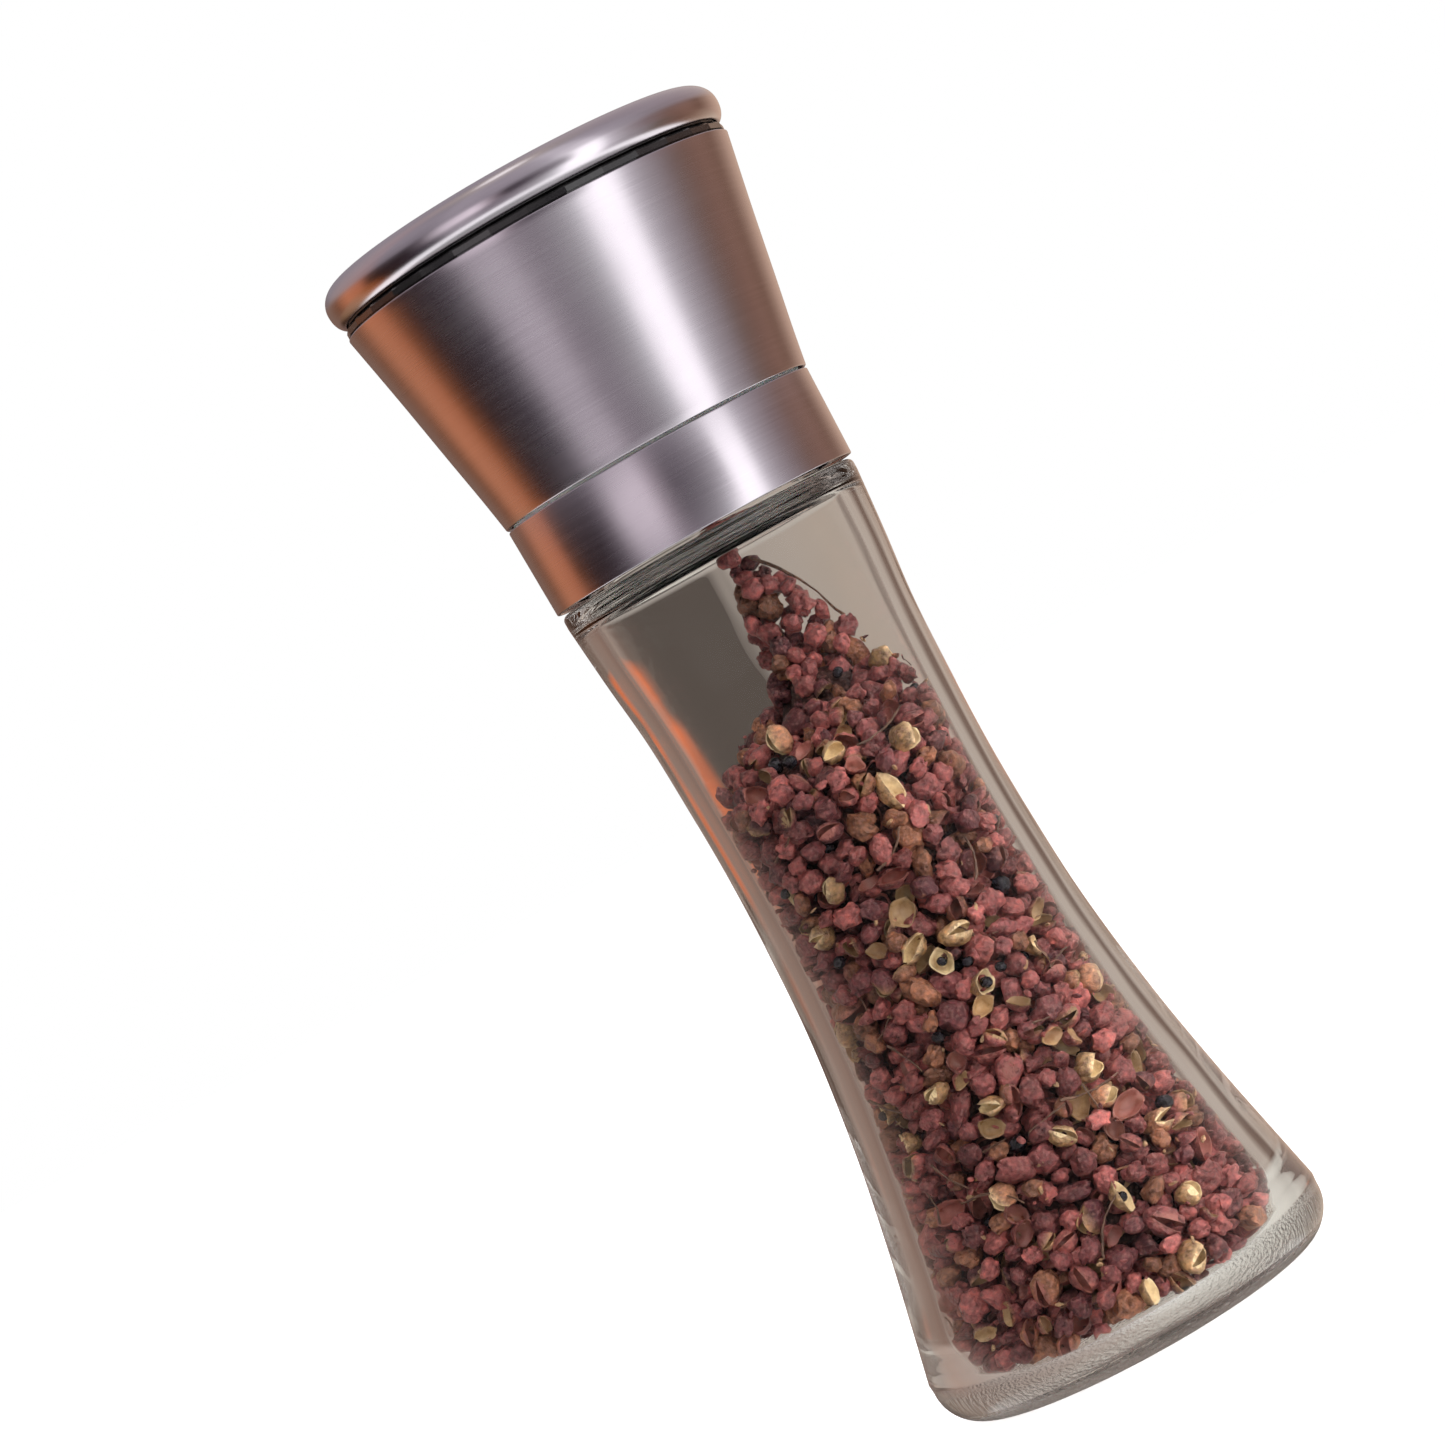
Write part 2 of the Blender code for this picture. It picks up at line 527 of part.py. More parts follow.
def head_liner(material):
    """Outer wall behind the shell, a rim over it, the well's floor, and the barrel that holds the outer burr."""
    wall = SHEET + FIT_GAP
    lower = HEAD_OUTLINE[1][0]
    middle = HEAD_OUTLINE[2][0]
    upper = HEAD_TOP - FIT_GAP
    floor_under = WELL_FLOOR - WELL_FLOOR_SHEET
    recess = WELL_FLOOR_EDGE - WELL_FLOOR_SHEET
    pocket = RING_RADIUS + FIT_GAP
    bead = RETAINER_BOTTOM + RETAINER_BEAD_HEIGHT

    def skin(height, inset=0.0):
        return radius_at(HEAD_OUTLINE, height) - wall - inset

    lathe("head_liner", [
        (LEDGE_BORE, LINER_BOTTOM), (skin(LINER_BOTTOM), LINER_BOTTOM), (skin(lower), lower),
        (skin(middle), middle), (skin(upper), upper),
        (skin(upper), HEAD_TOP + FIT_GAP), (LINER_RIM, HEAD_TOP + FIT_GAP), (LINER_RIM, LINER_RIM_TOP - 0.3),
        (LINER_RIM - 0.3, LINER_RIM_TOP), (MOUTH_RADIUS + 0.4, LINER_RIM_TOP), (MOUTH_RADIUS, LINER_RIM_TOP - 0.4),
        (MOUTH_RADIUS, WELL_FLOOR_EDGE + 0.6), (MOUTH_RADIUS - 1.0, WELL_FLOOR_EDGE),
        (OUTLET_RADIUS, WELL_FLOOR), (OUTLET_RADIUS, floor_under - 0.4), (pocket, floor_under - 0.4),
        (pocket, bead + 0.7), (pocket + RETAINER_BEAD, bead + 0.3),
        (pocket + RETAINER_BEAD, bead - 0.3), (pocket, bead - 0.7), (pocket, BARREL_BOTTOM), (BARREL_RADIUS, BARREL_BOTTOM),
        (BARREL_RADIUS, floor_under), (skin(recess, LINER_WALL), recess), (skin(middle, LINER_WALL), middle),
        (skin(LEDGE_TOP, LINER_WALL), LEDGE_TOP), (LEDGE_BORE, LEDGE_TOP)], material)


def burr_retainer(material):
    """The ring that snaps into the barrel under the outer burr."""
    tip = RING_RADIUS + RETAINER_BEAD
    bead = RETAINER_BOTTOM + RETAINER_BEAD_HEIGHT
    top = RING_BOTTOM - FIT_GAP
    lathe("burr_retainer", [
        (RETAINER_BORE, RETAINER_BOTTOM), (RING_RADIUS, RETAINER_BOTTOM), (RING_RADIUS, bead - 0.6),
        (tip, bead - 0.2), (tip, bead + 0.2), (RING_RADIUS, bead + 0.6), (RING_RADIUS, top),
        (RETAINER_BORE, top)], material)


def cap_outline(inset):
    """The lid's outline from its lower edge over the rounded rim to the axis, moved inwards by inset."""
    center = (CAP_FLAT_RADIUS, CAP_WIDEST)
    rise = CAP_EDGE - CAP_WIDEST - inset
    reach = CAP_RADIUS - CAP_FLAT_RADIUS - inset
    turns = [math.radians(a) for a in (0, 22, 45, 68, 90)]
    edge = [(center[0] + reach * math.cos(a), center[1] + rise * math.sin(a)) for a in turns]
    return edge + [(0.0, CAP_TOP - inset)]


def cap_shell(material):
    lathe("cap_shell", cap_outline(SHEET)[::-1] + [(CAP_BOTTOM_RADIUS - SHEET, CAP_BOTTOM),
                                                   (CAP_BOTTOM_RADIUS, CAP_BOTTOM)] + cap_outline(0.0), material)


def cap_liner(material):
    """Plastic plate under the lid, with a flange on the head's rim and a skirt inside its mouth."""
    inset = SHEET + FIT_GAP
    flange = CAP_BOTTOM_RADIUS - inset
    plate_under = CAP_TOP - inset - CAP_PLATE
    outer = cap_outline(inset)
    half = SEAL_WIRE + 0.25
    lathe("cap_liner", [(0.0, plate_under), (SKIRT_BORE - 1.2, plate_under), (SKIRT_BORE, plate_under - 1.2),
                        (SKIRT_BORE, SKIRT_BOTTOM), (SKIRT_RADIUS - 0.3, SKIRT_BOTTOM),
                        (SKIRT_RADIUS, SKIRT_BOTTOM + 0.3), (SKIRT_RADIUS, SKIRT_GROOVE - half),
                        (SKIRT_RADIUS - 1.05, SKIRT_GROOVE - half), (SKIRT_RADIUS - 1.05, SKIRT_GROOVE + half),
                        (SKIRT_RADIUS, SKIRT_GROOVE + half), (SKIRT_RADIUS, LINER_RIM_TOP + RUNNING_GAP),
                        (flange, LINER_RIM_TOP + RUNNING_GAP)] + outer, material)


def cap_seal(material):
    center = (SKIRT_RADIUS - 1.05 + 0.25 + SEAL_WIRE, SKIRT_GROOVE)
    lathe("cap_seal", arc(center, SEAL_WIRE, 0, 300, 5), material)


def main():
    clear_scene()
    coat = finishes()
    glass_jar(coat["glass"])
    peppercorn_fill(coat["pepper"])
    neck_seal(coat["silicone"])
    collar_sleeve(coat["brushed"])
    collar_insert(coat["plastic"])
    thrust_washer(coat["silicone"])
    retaining_ring(coat["steel"])
    drive_spider(coat["plastic"])
    spindle(coat["steel"])
    burr_spring(coat["steel"])
    inner_burr(coat["ceramic"])
    outer_burr(coat["ceramic"])
    burr_driver(coat["plastic"])
    knob_washer(coat["steel"])
    adjuster_knob(coat["plastic"])
    knob_nut(coat["brass"])
    head_shell(coat["brushed"])
    head_liner(coat["plastic"])
    burr_retainer(coat["plastic"])
    cap_shell(coat["brushed"])
    cap_liner(coat["plastic"])
    cap_seal(coat["silicone"])


main()
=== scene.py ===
"""The finished pepper mill: clear waisted jar, dried pepper husks, brushed steel head and cap, ceramic burrs.

The scene is in metres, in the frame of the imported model, and every piece rides on one of its bodies.
"""

import math

import bmesh
import bpy
import numpy as np
from mathutils import Matrix, Vector


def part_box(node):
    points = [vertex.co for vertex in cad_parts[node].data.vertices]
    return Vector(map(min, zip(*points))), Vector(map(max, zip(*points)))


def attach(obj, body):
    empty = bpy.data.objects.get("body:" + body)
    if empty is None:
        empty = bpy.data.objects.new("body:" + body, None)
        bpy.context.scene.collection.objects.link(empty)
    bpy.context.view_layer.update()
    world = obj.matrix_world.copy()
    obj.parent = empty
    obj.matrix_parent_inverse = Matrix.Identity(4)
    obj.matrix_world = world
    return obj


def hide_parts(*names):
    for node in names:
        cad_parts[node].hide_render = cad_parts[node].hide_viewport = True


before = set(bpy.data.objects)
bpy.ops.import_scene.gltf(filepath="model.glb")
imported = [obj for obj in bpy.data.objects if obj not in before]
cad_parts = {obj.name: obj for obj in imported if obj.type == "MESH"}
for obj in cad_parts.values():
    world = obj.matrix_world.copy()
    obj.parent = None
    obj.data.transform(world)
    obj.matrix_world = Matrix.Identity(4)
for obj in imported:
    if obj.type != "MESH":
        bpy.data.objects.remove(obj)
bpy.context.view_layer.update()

bl_info = {
    "name": "Pepper mill",
    "version": (1, 0, 0),
    "blender": (4, 5, 0),
    "location": "View3D > Sidebar > Mill",
    "description": "Builds a glass pepper mill with a brushed steel head, its husks and its burrs",
    "category": "Add Mesh",
}

MM = 0.001
TURN = 2 * math.pi
FRONT = (0.0, -1.0, 0.0)
STEEL_STEPS = 192

# Sizes in millimetres. An outline is a list of (height, radius) points.
JAR_OUTER = ((8.0, 32.0), (16.5, 30.1), (28.0, 27.6), (42.5, 24.9), (60.0, 22.6), (75.0, 21.7),
             (87.0, 21.45), (100.0, 21.75), (110.0, 22.2), (120.0, 23.25), (130.0, 24.15))
JAR_INNER = ((12.0, 26.3), (20.0, 24.6), (28.0, 23.2), (42.5, 20.9), (60.0, 19.1), (84.0, 18.3),
             (100.0, 18.6), (112.0, 19.2), (121.5, 20.1), (127.8, 20.5))
HEAD_OUTLINE = ((146.8, 25.0), (152.4, 25.95), (159.6, 27.3), (171.0, 29.4), (182.2, 31.6))
SHEET = 0.6
STEEL_EDGE = 0.22
FOOT_RADIUS = 25.6
HEEL = 6.3
FLOOR = 3.8
FLOOR_CORNER = 4.6
SHOULDER = 131.9
NECK_BORE = 16.6
THROAT = ((127.8, 20.5), (129.0, 20.1), (129.8, 19.1), (130.5, 17.4), (132.0, 16.6), (146.0, NECK_BORE))
NECK_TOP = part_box("glass_jar")[1].z / MM
LIP = 0.7
# The neck is smooth up to NECK_PLAIN. Above it the thread stands out from NECK_RADIUS to NECK_CREST.
NECK_PLAIN = 133.5
NECK_RADIUS = 19.3
NECK_CREST = 20.6
NECK_PITCH = 4.0
NECK_TURNS = 1.25
NECK_THREAD_START = 136.9
# The ridge's width at its foot and on its crest as shares of the pitch, and the part of a turn in which it
# rises from the neck and sinks back into it.
THREAD_FOOT = 0.5
THREAD_CREST = 0.28
THREAD_RUN_OUT = 0.12
# The load's heap and the tongue that stands up from it: where the top is, then the fall to the left, to the
# right, and to front and back.
HEAP = ((2.0, 15.0, 110.0), 0.5, 0.2, 0.5)
TONGUE = ((2.0, 17.0, 133.0), 6.0, 1.6, 2.2)
# Where the load's lower piece gives way to its upper one, and the foot and height of its core, painted dark
# as the shade deep in the load.
LOWER_TOP = 52.0
CORE_FOOT = 8.0
CORE_RISE = 104.0
# How many shapes of each kind there are, how many places are tried for a husk, and how many bits are strewn.
POD_KINDS = 18
SPLIT_KINDS = 8
SEED_KINDS = 3
TRIES = 420000
CRUMBS = 420
LOOSE_STEMS = 46
# Colours of the load; where there are two, the second is for the paler edges.
TAN_HUSK = (0.33, 0.15, 0.085)
CREAM_LINING = (0.50, 0.33, 0.17)
ROSE_LINING = (0.36, 0.13, 0.11)
SHOWN_CREAM = (0.42, 0.27, 0.13)
SHOWN_PEACH = (0.50, 0.26, 0.15)
SHOWN_EDGE = (0.9, 0.72, 0.43)
STRAW = ((0.50, 0.34, 0.19), (0.66, 0.5, 0.3))
STEM_BROWN = ((0.12, 0.06, 0.04), (0.2, 0.1, 0.07))
SEED_BLACK = ((0.01, 0.01, 0.01), (0.01, 0.01, 0.01))
# Painted shade: the core's colour is darker than any husk and stands for the shade deep in the load.
CORE_PAINTED_SHADE = (0.05, 0.018, 0.016, 1.0)
# Split husks that show through the front glass, lining outwards: (x, height, width, kind).
SHOWN_HUSKS = (
    (3.4, 56.5, 4.6, "bowl"), (3.0, 64.7, 4.4, "bean"), (-2.7, 65.7, 4.2, "bean"),
    (-0.4, 62.2, 3.8, "bowl"), (5.0, 87.0, 4.6, "bowl"), (10.0, 92.7, 5.0, "bean"),
    (-14.3, 81.2, 4.2, "bowl"), (-8.4, 78.5, 4.0, "bean"), (-12.8, 73.0, 4.2, "bean"),
    (-17.4, 46.0, 4.0, "bowl"), (-16.6, 40.9, 3.8, "bowl"), (11.7, 57.4, 3.6, "bowl"),
    (9.7, 38.6, 4.8, "bean"), (9.8, 34.2, 4.8, "peach"), (2.3, 32.5, 3.8, "bean"),
    (5.2, 20.9, 3.8, "bowl"), (9.4, 8.6, 4.8, "bean"), (2.5, 7.6, 3.4, "bowl"),
    (14.4, 27.0, 4.6, "peach"), (13.1, 16.5, 3.2, "bean"), (0.8, 95.8, 3.8, "bean"),
    (-8.6, 29.0, 4.6, "peach"), (-16.6, 59.0, 3.6, "bean"), (16.0, 49.0, 4.4, "peach"),
    (-5.0, 101.0, 4.4, "peach"), (-9.5, 46.0, 3.2, "bean"), (-4.0, 41.0, 3.6, "bean"),
    (14.2, 104.0, 3.8, "bean"))
# Stems that show through the front glass: the ends of each as (x, height), and how far its middle bows.
STEMS = (
    ((-18.0, 49.0), (-13.0, 45.0), 0.6), ((-19.0, 39.0), (-4.5, 36.0), 1.6),
    ((-14.0, 30.5), (-6.6, 27.0), -1.4), ((4.3, 37.0), (12.9, 36.0), 0.7),
    ((-2.0, 78.0), (3.5, 82.0), 0.8), ((4.0, 95.0), (12.0, 97.0), 0.9), ((9.0, 70.0), (10.5, 76.0), 0.7),
    ((-1.0, 15.0), (5.0, 22.0), -1.0), ((-13.5, 86.0), (-9.0, 90.0), 0.6))
# The stem that leans over the heap, from its upper end (x, y, height) to its lower.
LEANING_STEM = ((4.4, 15.4, 127.6), (13.2, 13.2, 112.6))
# The camera's lens in millimetres and its roll in degrees; its place and the floor's size and drop in metres.
CAMERA_LENS = 119.4
CAMERA_ROLL = 29.18
CAMERA_PLACE = (-0.0111, -0.7, 0.1072)
STAGE_REACH = 6.0
STAGE_DROP = 0.0002


# ---------------------------------------------------------------------------------- curves and solids

def radius_at(outline, height):
    """Radius of a smooth outline at a height: a cubic through its (height, radius) points."""
    heights = np.array([point[0] for point in outline])
    radii = np.array([point[1] for point in outline])
    slopes = np.gradient(radii, heights)
    last = len(outline) - 1
    slopes[1:last] = (radii[2:] - radii[:-2]) / (heights[2:] - heights[:-2])
    i = np.clip(np.searchsorted(heights, height, side="right") - 1, 0, last - 1)
    span = heights[i + 1] - heights[i]
    t = np.clip((height - heights[i]) / span, 0.0, 1.0)
    return ((2 * t**3 - 3 * t**2 + 1) * radii[i] + (t**3 - 2 * t**2 + t) * span * slopes[i]
            + (3 * t**2 - 2 * t**3) * radii[i + 1] + (t**3 - t**2) * span * slopes[i + 1])


def stations(outline, count, inset=0.0):
    heights = np.linspace(outline[0][0], outline[-1][0], count)
    return [(float(radius_at(outline, h)) - inset, float(h)) for h in heights]


def arc(center, radii, start, end, steps):
    """Points round a corner, angles in degrees from outwards; radii may be one number or (width, height)."""
    across, along = radii if isinstance(radii, tuple) else (radii, radii)
    turn = [math.radians(start + (end - start) * i / steps) for i in range(steps + 1)]
    return [(center[0] + across * math.cos(a), center[1] + along * math.sin(a)) for a in turn]


def eased(profile, radius, steps=3):
    """The closed profile with each sharp corner rounded off, by at most the given radius."""
    points = [np.array(p, float) for p in profile]
    count = len(points)
    made = []
    for i, here in enumerate(points):
        before, after = points[i - 1], points[(i + 1) % count]
        back, ahead = before - here, after - here
        reach_back, reach_ahead = np.linalg.norm(back), np.linalg.norm(ahead)
        turn = np.dot(back, ahead) / (reach_back * reach_ahead)
        if turn < -0.97:
            made.append(tuple(here))
            continue
        cut = min(radius, 0.45 * reach_back, 0.45 * reach_ahead)
        a, b = here + back / reach_back * cut, here + ahead / reach_ahead * cut
        for k in range(steps + 1):
            t = k / steps
            made.append(tuple((1 - t)**2 * a + 2 * t * (1 - t) * here + t**2 * b))
    return made


def solid(name, bm, *materials):
    bmesh.ops.recalc_face_normals(bm, faces=bm.faces)
    mesh = bpy.data.meshes.new(name)
    bm.to_mesh(mesh)
    bm.free()
    mesh.shade_smooth()
    obj = bpy.data.objects.new(name, mesh)
    bpy.context.scene.collection.objects.link(obj)
    for material in materials:
        mesh.materials.append(material)
    return obj


def turned(name, profile, material, segments, reshape=None, sharp=40):
    """A turned solid from (radius, height) points, closed by itself or along the axis."""
    bm = bmesh.new()
    points = [bm.verts.new((r * MM, 0.0, z * MM)) for r, z in profile]
    on_axis = profile[0][0] == 0 and profile[-1][0] == 0
    following = points[1:] if on_axis else points[1:] + points[:1]
    edges = [bm.edges.new(pair) for pair in zip(points, following)]
    bmesh.ops.spin(bm, geom=points + edges, axis=(0, 0, 1), cent=(0, 0, 0), angle=TURN, steps=segments,
                   use_merge=True)
    bmesh.ops.remove_doubles(bm, verts=bm.verts, dist=1e-7)
    if reshape:
        for vert in bm.verts:
            radius = math.hypot(vert.co.x, vert.co.y)
            if radius < 1e-6:
                continue
            angle = math.atan2(vert.co.y, vert.co.x)
            changed = reshape(radius / MM, vert.co.z / MM, angle) * MM
            vert.co.x, vert.co.y = changed * math.cos(angle), changed * math.sin(angle)
    obj = solid(name, bm, material)
    if sharp:
        obj.data.set_sharp_from_angle(angle=math.radians(sharp))
    return obj


def thread_height(height, angle):
    """How far up its flank the neck's right-handed ridge stands: 0 in the root, 1 on the crest."""
    tallest = 0.0
    for k in range(int(NECK_TURNS) + 2):
        along = angle / TURN % 1.0 + k
        if along > NECK_TURNS:
            continue
        off = abs(height - NECK_THREAD_START - NECK_PITCH * along) / NECK_PITCH
        flank = (THREAD_FOOT / 2 - off) / (THREAD_FOOT / 2 - THREAD_CREST / 2)
        ends = min(1.0, along / THREAD_RUN_OUT, (NECK_TURNS - along) / THREAD_RUN_OUT)
        tallest = max(tallest, min(1.0, max(0.0, flank)) * max(0.0, ends))
    return tallest * tallest * (3 - 2 * tallest)


# ------------------------------------------------------------------------------------------- finishes

class Finish:
    """A material's node tree, built one node at a time."""

    def __init__(self, name):
        self.material = bpy.data.materials.new(name)
        self.material.use_nodes = True
        self.tree = self.material.node_tree
        self.shader = self.tree.nodes["Principled BSDF"]
        self.output = self.tree.nodes["Material Output"]

    def set(self, **values):
        for key, value in values.items():
            self.shader.inputs[key.replace("_", " ")].default_value = value
        return self

    def node(self, kind, settings=None, **inputs):
        made = self.tree.nodes.new(kind)
        for key, value in (settings or {}).items():
            setattr(made, key, value)
        for key, value in inputs.items():
            self.feed(made.inputs[key.replace("_", " ")], value)
        return made

    def feed(self, socket, value):
        if isinstance(value, bpy.types.NodeSocket):
            self.tree.links.new(value, socket)
        else:
            socket.default_value = value

    def place(self, scale=(1.0, 1.0, 1.0)):
        coords = self.node("ShaderNodeTexCoord")
        mapped = self.node("ShaderNodeMapping", Vector=coords.outputs["Object"])
        mapped.inputs["Scale"].default_value = scale
        return mapped.outputs["Vector"]

    def noise(self, scale, detail=4.0, roughness=0.55, at=None, distortion=0.0):
        made = self.node("ShaderNodeTexNoise", Scale=scale, Detail=detail, Roughness=roughness,
                         Distortion=distortion)
        self.feed(made.inputs["Vector"], at or self.place())
        return made.outputs["Fac"]

    def span(self, value, low, high, start=0.3, end=0.7):
        made = self.node("ShaderNodeMapRange", Value=value)
        for key, number in (("From Min", start), ("From Max", end), ("To Min", low), ("To Max", high)):
            made.inputs[key].default_value = number
        return made.outputs["Result"]

    def level_lines(self, around, across):
        """Coordinates that run fast up the mill and outwards, and slowly round it."""
        place = self.node("ShaderNodeSeparateXYZ", Vector=self.place())
        x, y, z = (place.outputs[axis] for axis in "XYZ")
        squares = self.math("ADD", self.math("MULTIPLY", x, x), self.math("MULTIPLY", y, y))
        radius = self.math("SQRT", squares, 0.0)
        rise = self.math("MULTIPLY", self.math("ADD", z, radius), across)
        made = self.node("ShaderNodeCombineXYZ", X=self.math("MULTIPLY", x, around),
                         Y=self.math("MULTIPLY", y, around), Z=rise)
        return made.outputs["Vector"]

    def math(self, kind, first, second):
        made = self.node("ShaderNodeMath", {"operation": kind})
        self.feed(made.inputs[0], first)
        self.feed(made.inputs[1], second)
        return made.outputs[0]

    def ramp(self, value, *stops):
        made = self.node("ShaderNodeValToRGB", Fac=value)
        line = made.color_ramp
        while len(line.elements) < len(stops):
            line.elements.new(0.5)
        for element, (place, color) in zip(line.elements, stops):
            element.position = place
            element.color = (*color, 1.0)
        return made.outputs["Color"]

    def blend(self, share, first, second, kind="MIX"):
        made = self.node("ShaderNodeMix", {"data_type": "RGBA", "blend_type": kind})
        for socket, value in zip((made.inputs[0], made.inputs[6], made.inputs[7]), (share, first, second)):
            if isinstance(value, tuple):
                value = (*value, 1.0)
            self.feed(socket, value)
        return made.outputs[2]

    def relief(self, *layers):
        """Bumps from (height, depth in metres) pairs, one on the other."""
        normal = None
        for height, depth in layers:
            bump = self.node("ShaderNodeBump", Height=height, Distance=depth)
            if normal:
                self.feed(bump.inputs["Normal"], normal)
            normal = bump.outputs["Normal"]
        self.feed(self.shader.inputs["Normal"], normal)
        return self

    def color(self, value):
        self.feed(self.shader.inputs["Base Color"], value)
        return self

    def roughness(self, value):
        self.feed(self.shader.inputs["Roughness"], value)
        return self


def brushed_steel(name, tone, rough, lines=3200.0):
    """Stainless sheet brushed round the mill: fine level lines, and broad faint marks of handling."""
    f = Finish(name)
    brushing = f.noise(1.0, 3.0, 0.7, f.level_lines(40.0, lines))
    coarse = f.noise(1.0, 2.0, 0.5, f.level_lines(18.0, lines / 6))
    handling = f.noise(45.0, 4.0, 0.6)
    light = tuple(min(1.0, c * 1.05) for c in tone)
    dark = tuple(c * 0.93 for c in tone)
    lined = f.ramp(brushing, (0.25, dark), (0.75, light))
    f.color(f.blend(f.span(handling, 0.0, 0.5), lined, tuple(c * 0.95 for c in tone)))
    streaked = f.span(brushing, rough - 0.015, rough + 0.02)
    f.roughness(f.math("ADD", streaked, f.span(handling, -0.03, 0.05)))
    f.relief((brushing, 0.0000004), (coarse, 0.0000006), (handling, 0.000004))
    f.set(Metallic=1.0, Anisotropic=0.6, Anisotropic_Rotation=0.25)
    tangent = f.node("ShaderNodeTangent", {"direction_type": "RADIAL", "axis": "Z"})
    f.feed(f.shader.inputs["Tangent"], tangent.outputs["Tangent"])
    return f.material


def clear_glass():
    """Pressed clear glass: slow ripples of the mould, smudges, and a stippled ring where the jar stands."""
    f = Finish("clear_glass")
    slow = f.noise(38.0, 1.0, 0.4)
    drawn = f.noise(1.0, 2.0, 0.5, f.place((120.0, 120.0, 22.0)))
    smudge = f.noise(90.0, 5.0, 0.65)
    f.color(f.ramp(smudge, (0.3, (0.97, 0.975, 0.965)), (0.75, (0.99, 0.99, 0.985))))
    place = f.node("ShaderNodeSeparateXYZ", Vector=f.place())
    standing = f.span(place.outputs["Z"], 1.0, 0.0, 0.0012, 0.0026)
    f.roughness(f.math("MAXIMUM", f.span(smudge, 0.0, 0.02, 0.5, 0.8), f.math("MULTIPLY", standing, 0.55)))
    stipple = f.math("MULTIPLY", f.noise(1300.0, 2.0, 0.5), standing)
    f.relief((slow, 0.0003), (drawn, 0.00006), (stipple, 0.0006))
    f.set(Transmission_Weight=1.0, IOR=1.5, Specular_Tint=(0.06, 0.06, 0.06, 1.0))
    return f.material


def black_plastic(name, tone=0.012, rough=0.38, coat=0.0):
    f = Finish(name)
    grain = f.noise(1400.0, 3.0, 0.6)
    worn = f.noise(120.0, 4.0, 0.6)
    f.color(f.ramp(worn, (0.3, (tone, tone, tone * 1.1)), (0.8, (tone * 2.2, tone * 2.1, tone * 2.1))))
    f.roughness(f.span(worn, rough - 0.07, rough + 0.1))
    f.relief((grain, 0.00001))
    f.set(Coat_Weight=coat, Coat_Roughness=0.12)
    return f.material


def ceramic(name):
    """Unglazed white ceramic with a faint speckle."""
    f = Finish(name)
    body = f.noise(160.0, 5.0, 0.6)
    specks = f.node("ShaderNodeTexVoronoi", Scale=900.0)
    f.feed(specks.inputs["Vector"], f.place())
    clay = f.ramp(body, (0.3, (0.74, 0.72, 0.67)), (0.7, (0.86, 0.85, 0.81)))
    f.color(f.blend(f.span(specks.outputs["Distance"], 0.5, 0.0, 0.03, 0.12), clay, (0.45, 0.42, 0.38)))
    f.roughness(f.span(body, 0.32, 0.5))
    f.relief((body, 0.00003))
    return f.material


def turned_metal(name, tone, rough):
    f = Finish(name)
    marks = f.noise(1.0, 3.0, 0.6, f.place((300.0, 300.0, 4000.0)))
    worn = f.noise(200.0, 4.0, 0.6)
    f.color(f.blend(f.span(worn, 0.0, 0.5), tone, tuple(c * 0.72 for c in tone)))
    f.roughness(f.span(marks, rough - 0.06, rough + 0.1))
    f.relief((marks, 0.000003))
    f.set(Metallic=1.0)
    return f.material


def silicone(name):
    f = Finish(name)
    cloud = f.noise(220.0, 3.0, 0.5)
    f.color(f.ramp(cloud, (0.3, (0.52, 0.53, 0.52)), (0.7, (0.64, 0.64, 0.62))))
    f.roughness(f.span(cloud, 0.42, 0.6))
    f.relief((cloud, 0.00001))
    f.set(Subsurface_Weight=0.15, Subsurface_Scale=0.001)
    return f.material


def husk_skin():
    """Outside of a dried husk: warty, wrinkled, its colour carried by each husk."""
    f = Finish("husk_skin")
    own = f.node("ShaderNodeAttribute", {"attribute_name": "husk_color"}).outputs["Color"]
    wart = f.node("ShaderNodeTexVoronoi", {"feature": "SMOOTH_F1"}, Scale=1500.0, Smoothness=0.6)
    f.feed(wart.inputs["Vector"], f.place())
    mottle = f.noise(900.0, 5.0, 0.65)
    wrinkle = f.noise(600.0, 4.0, 0.7, distortion=1.2)
    shade = f.ramp(mottle, (0.3, (0.26, 0.2, 0.2)), (0.5, (0.85, 0.78, 0.76)), (0.75, (1.7, 1.4, 1.25)))
    stained = f.blend(1.0, own, shade, "MULTIPLY")
    f.color(f.blend(f.span(wart.outputs["Distance"], 0.35, 0.0, 0.1, 0.5), stained, (0.42, 0.2, 0.17)))
    f.roughness(f.span(mottle, 0.25, 0.55))
    f.relief((wart.outputs["Distance"], -0.00022), (wrinkle, 0.0004))
    f.set(Specular_IOR_Level=0.45)
    return f.material


def husk_lining():
    """Papery lining of a husk, smooth and a little glossy, from cream to rose as each husk carries it."""
    f = Finish("husk_lining")
    own = f.node("ShaderNodeAttribute", {"attribute_name": "husk_color"}).outputs["Color"]
    fibre = f.noise(700.0, 4.0, 0.6)
    stain = f.noise(260.0, 3.0, 0.5)
    shade = f.ramp(fibre, (0.25, (0.62, 0.52, 0.42)), (0.55, (1.0, 1.0, 1.0)), (0.8, (1.25, 1.3, 1.35)))
    tinted = f.blend(1.0, own, shade, "MULTIPLY")
    f.color(f.blend(f.span(stain, 0.0, 0.6, 0.45, 0.75), tinted, (0.3, 0.13, 0.08)))
    f.roughness(f.span(fibre, 0.25, 0.45))
    f.relief((fibre, 0.00006))
    return f.material


def seed_coat():
    f = Finish("seed_coat")
    pits = f.noise(1500.0, 3.0, 0.5)
    f.color(f.ramp(pits, (0.3, (0.006, 0.006, 0.01)), (0.8, (0.03, 0.025, 0.035))))
    f.roughness(f.span(pits, 0.12, 0.3))
    f.relief((pits, 0.00004))
    return f.material


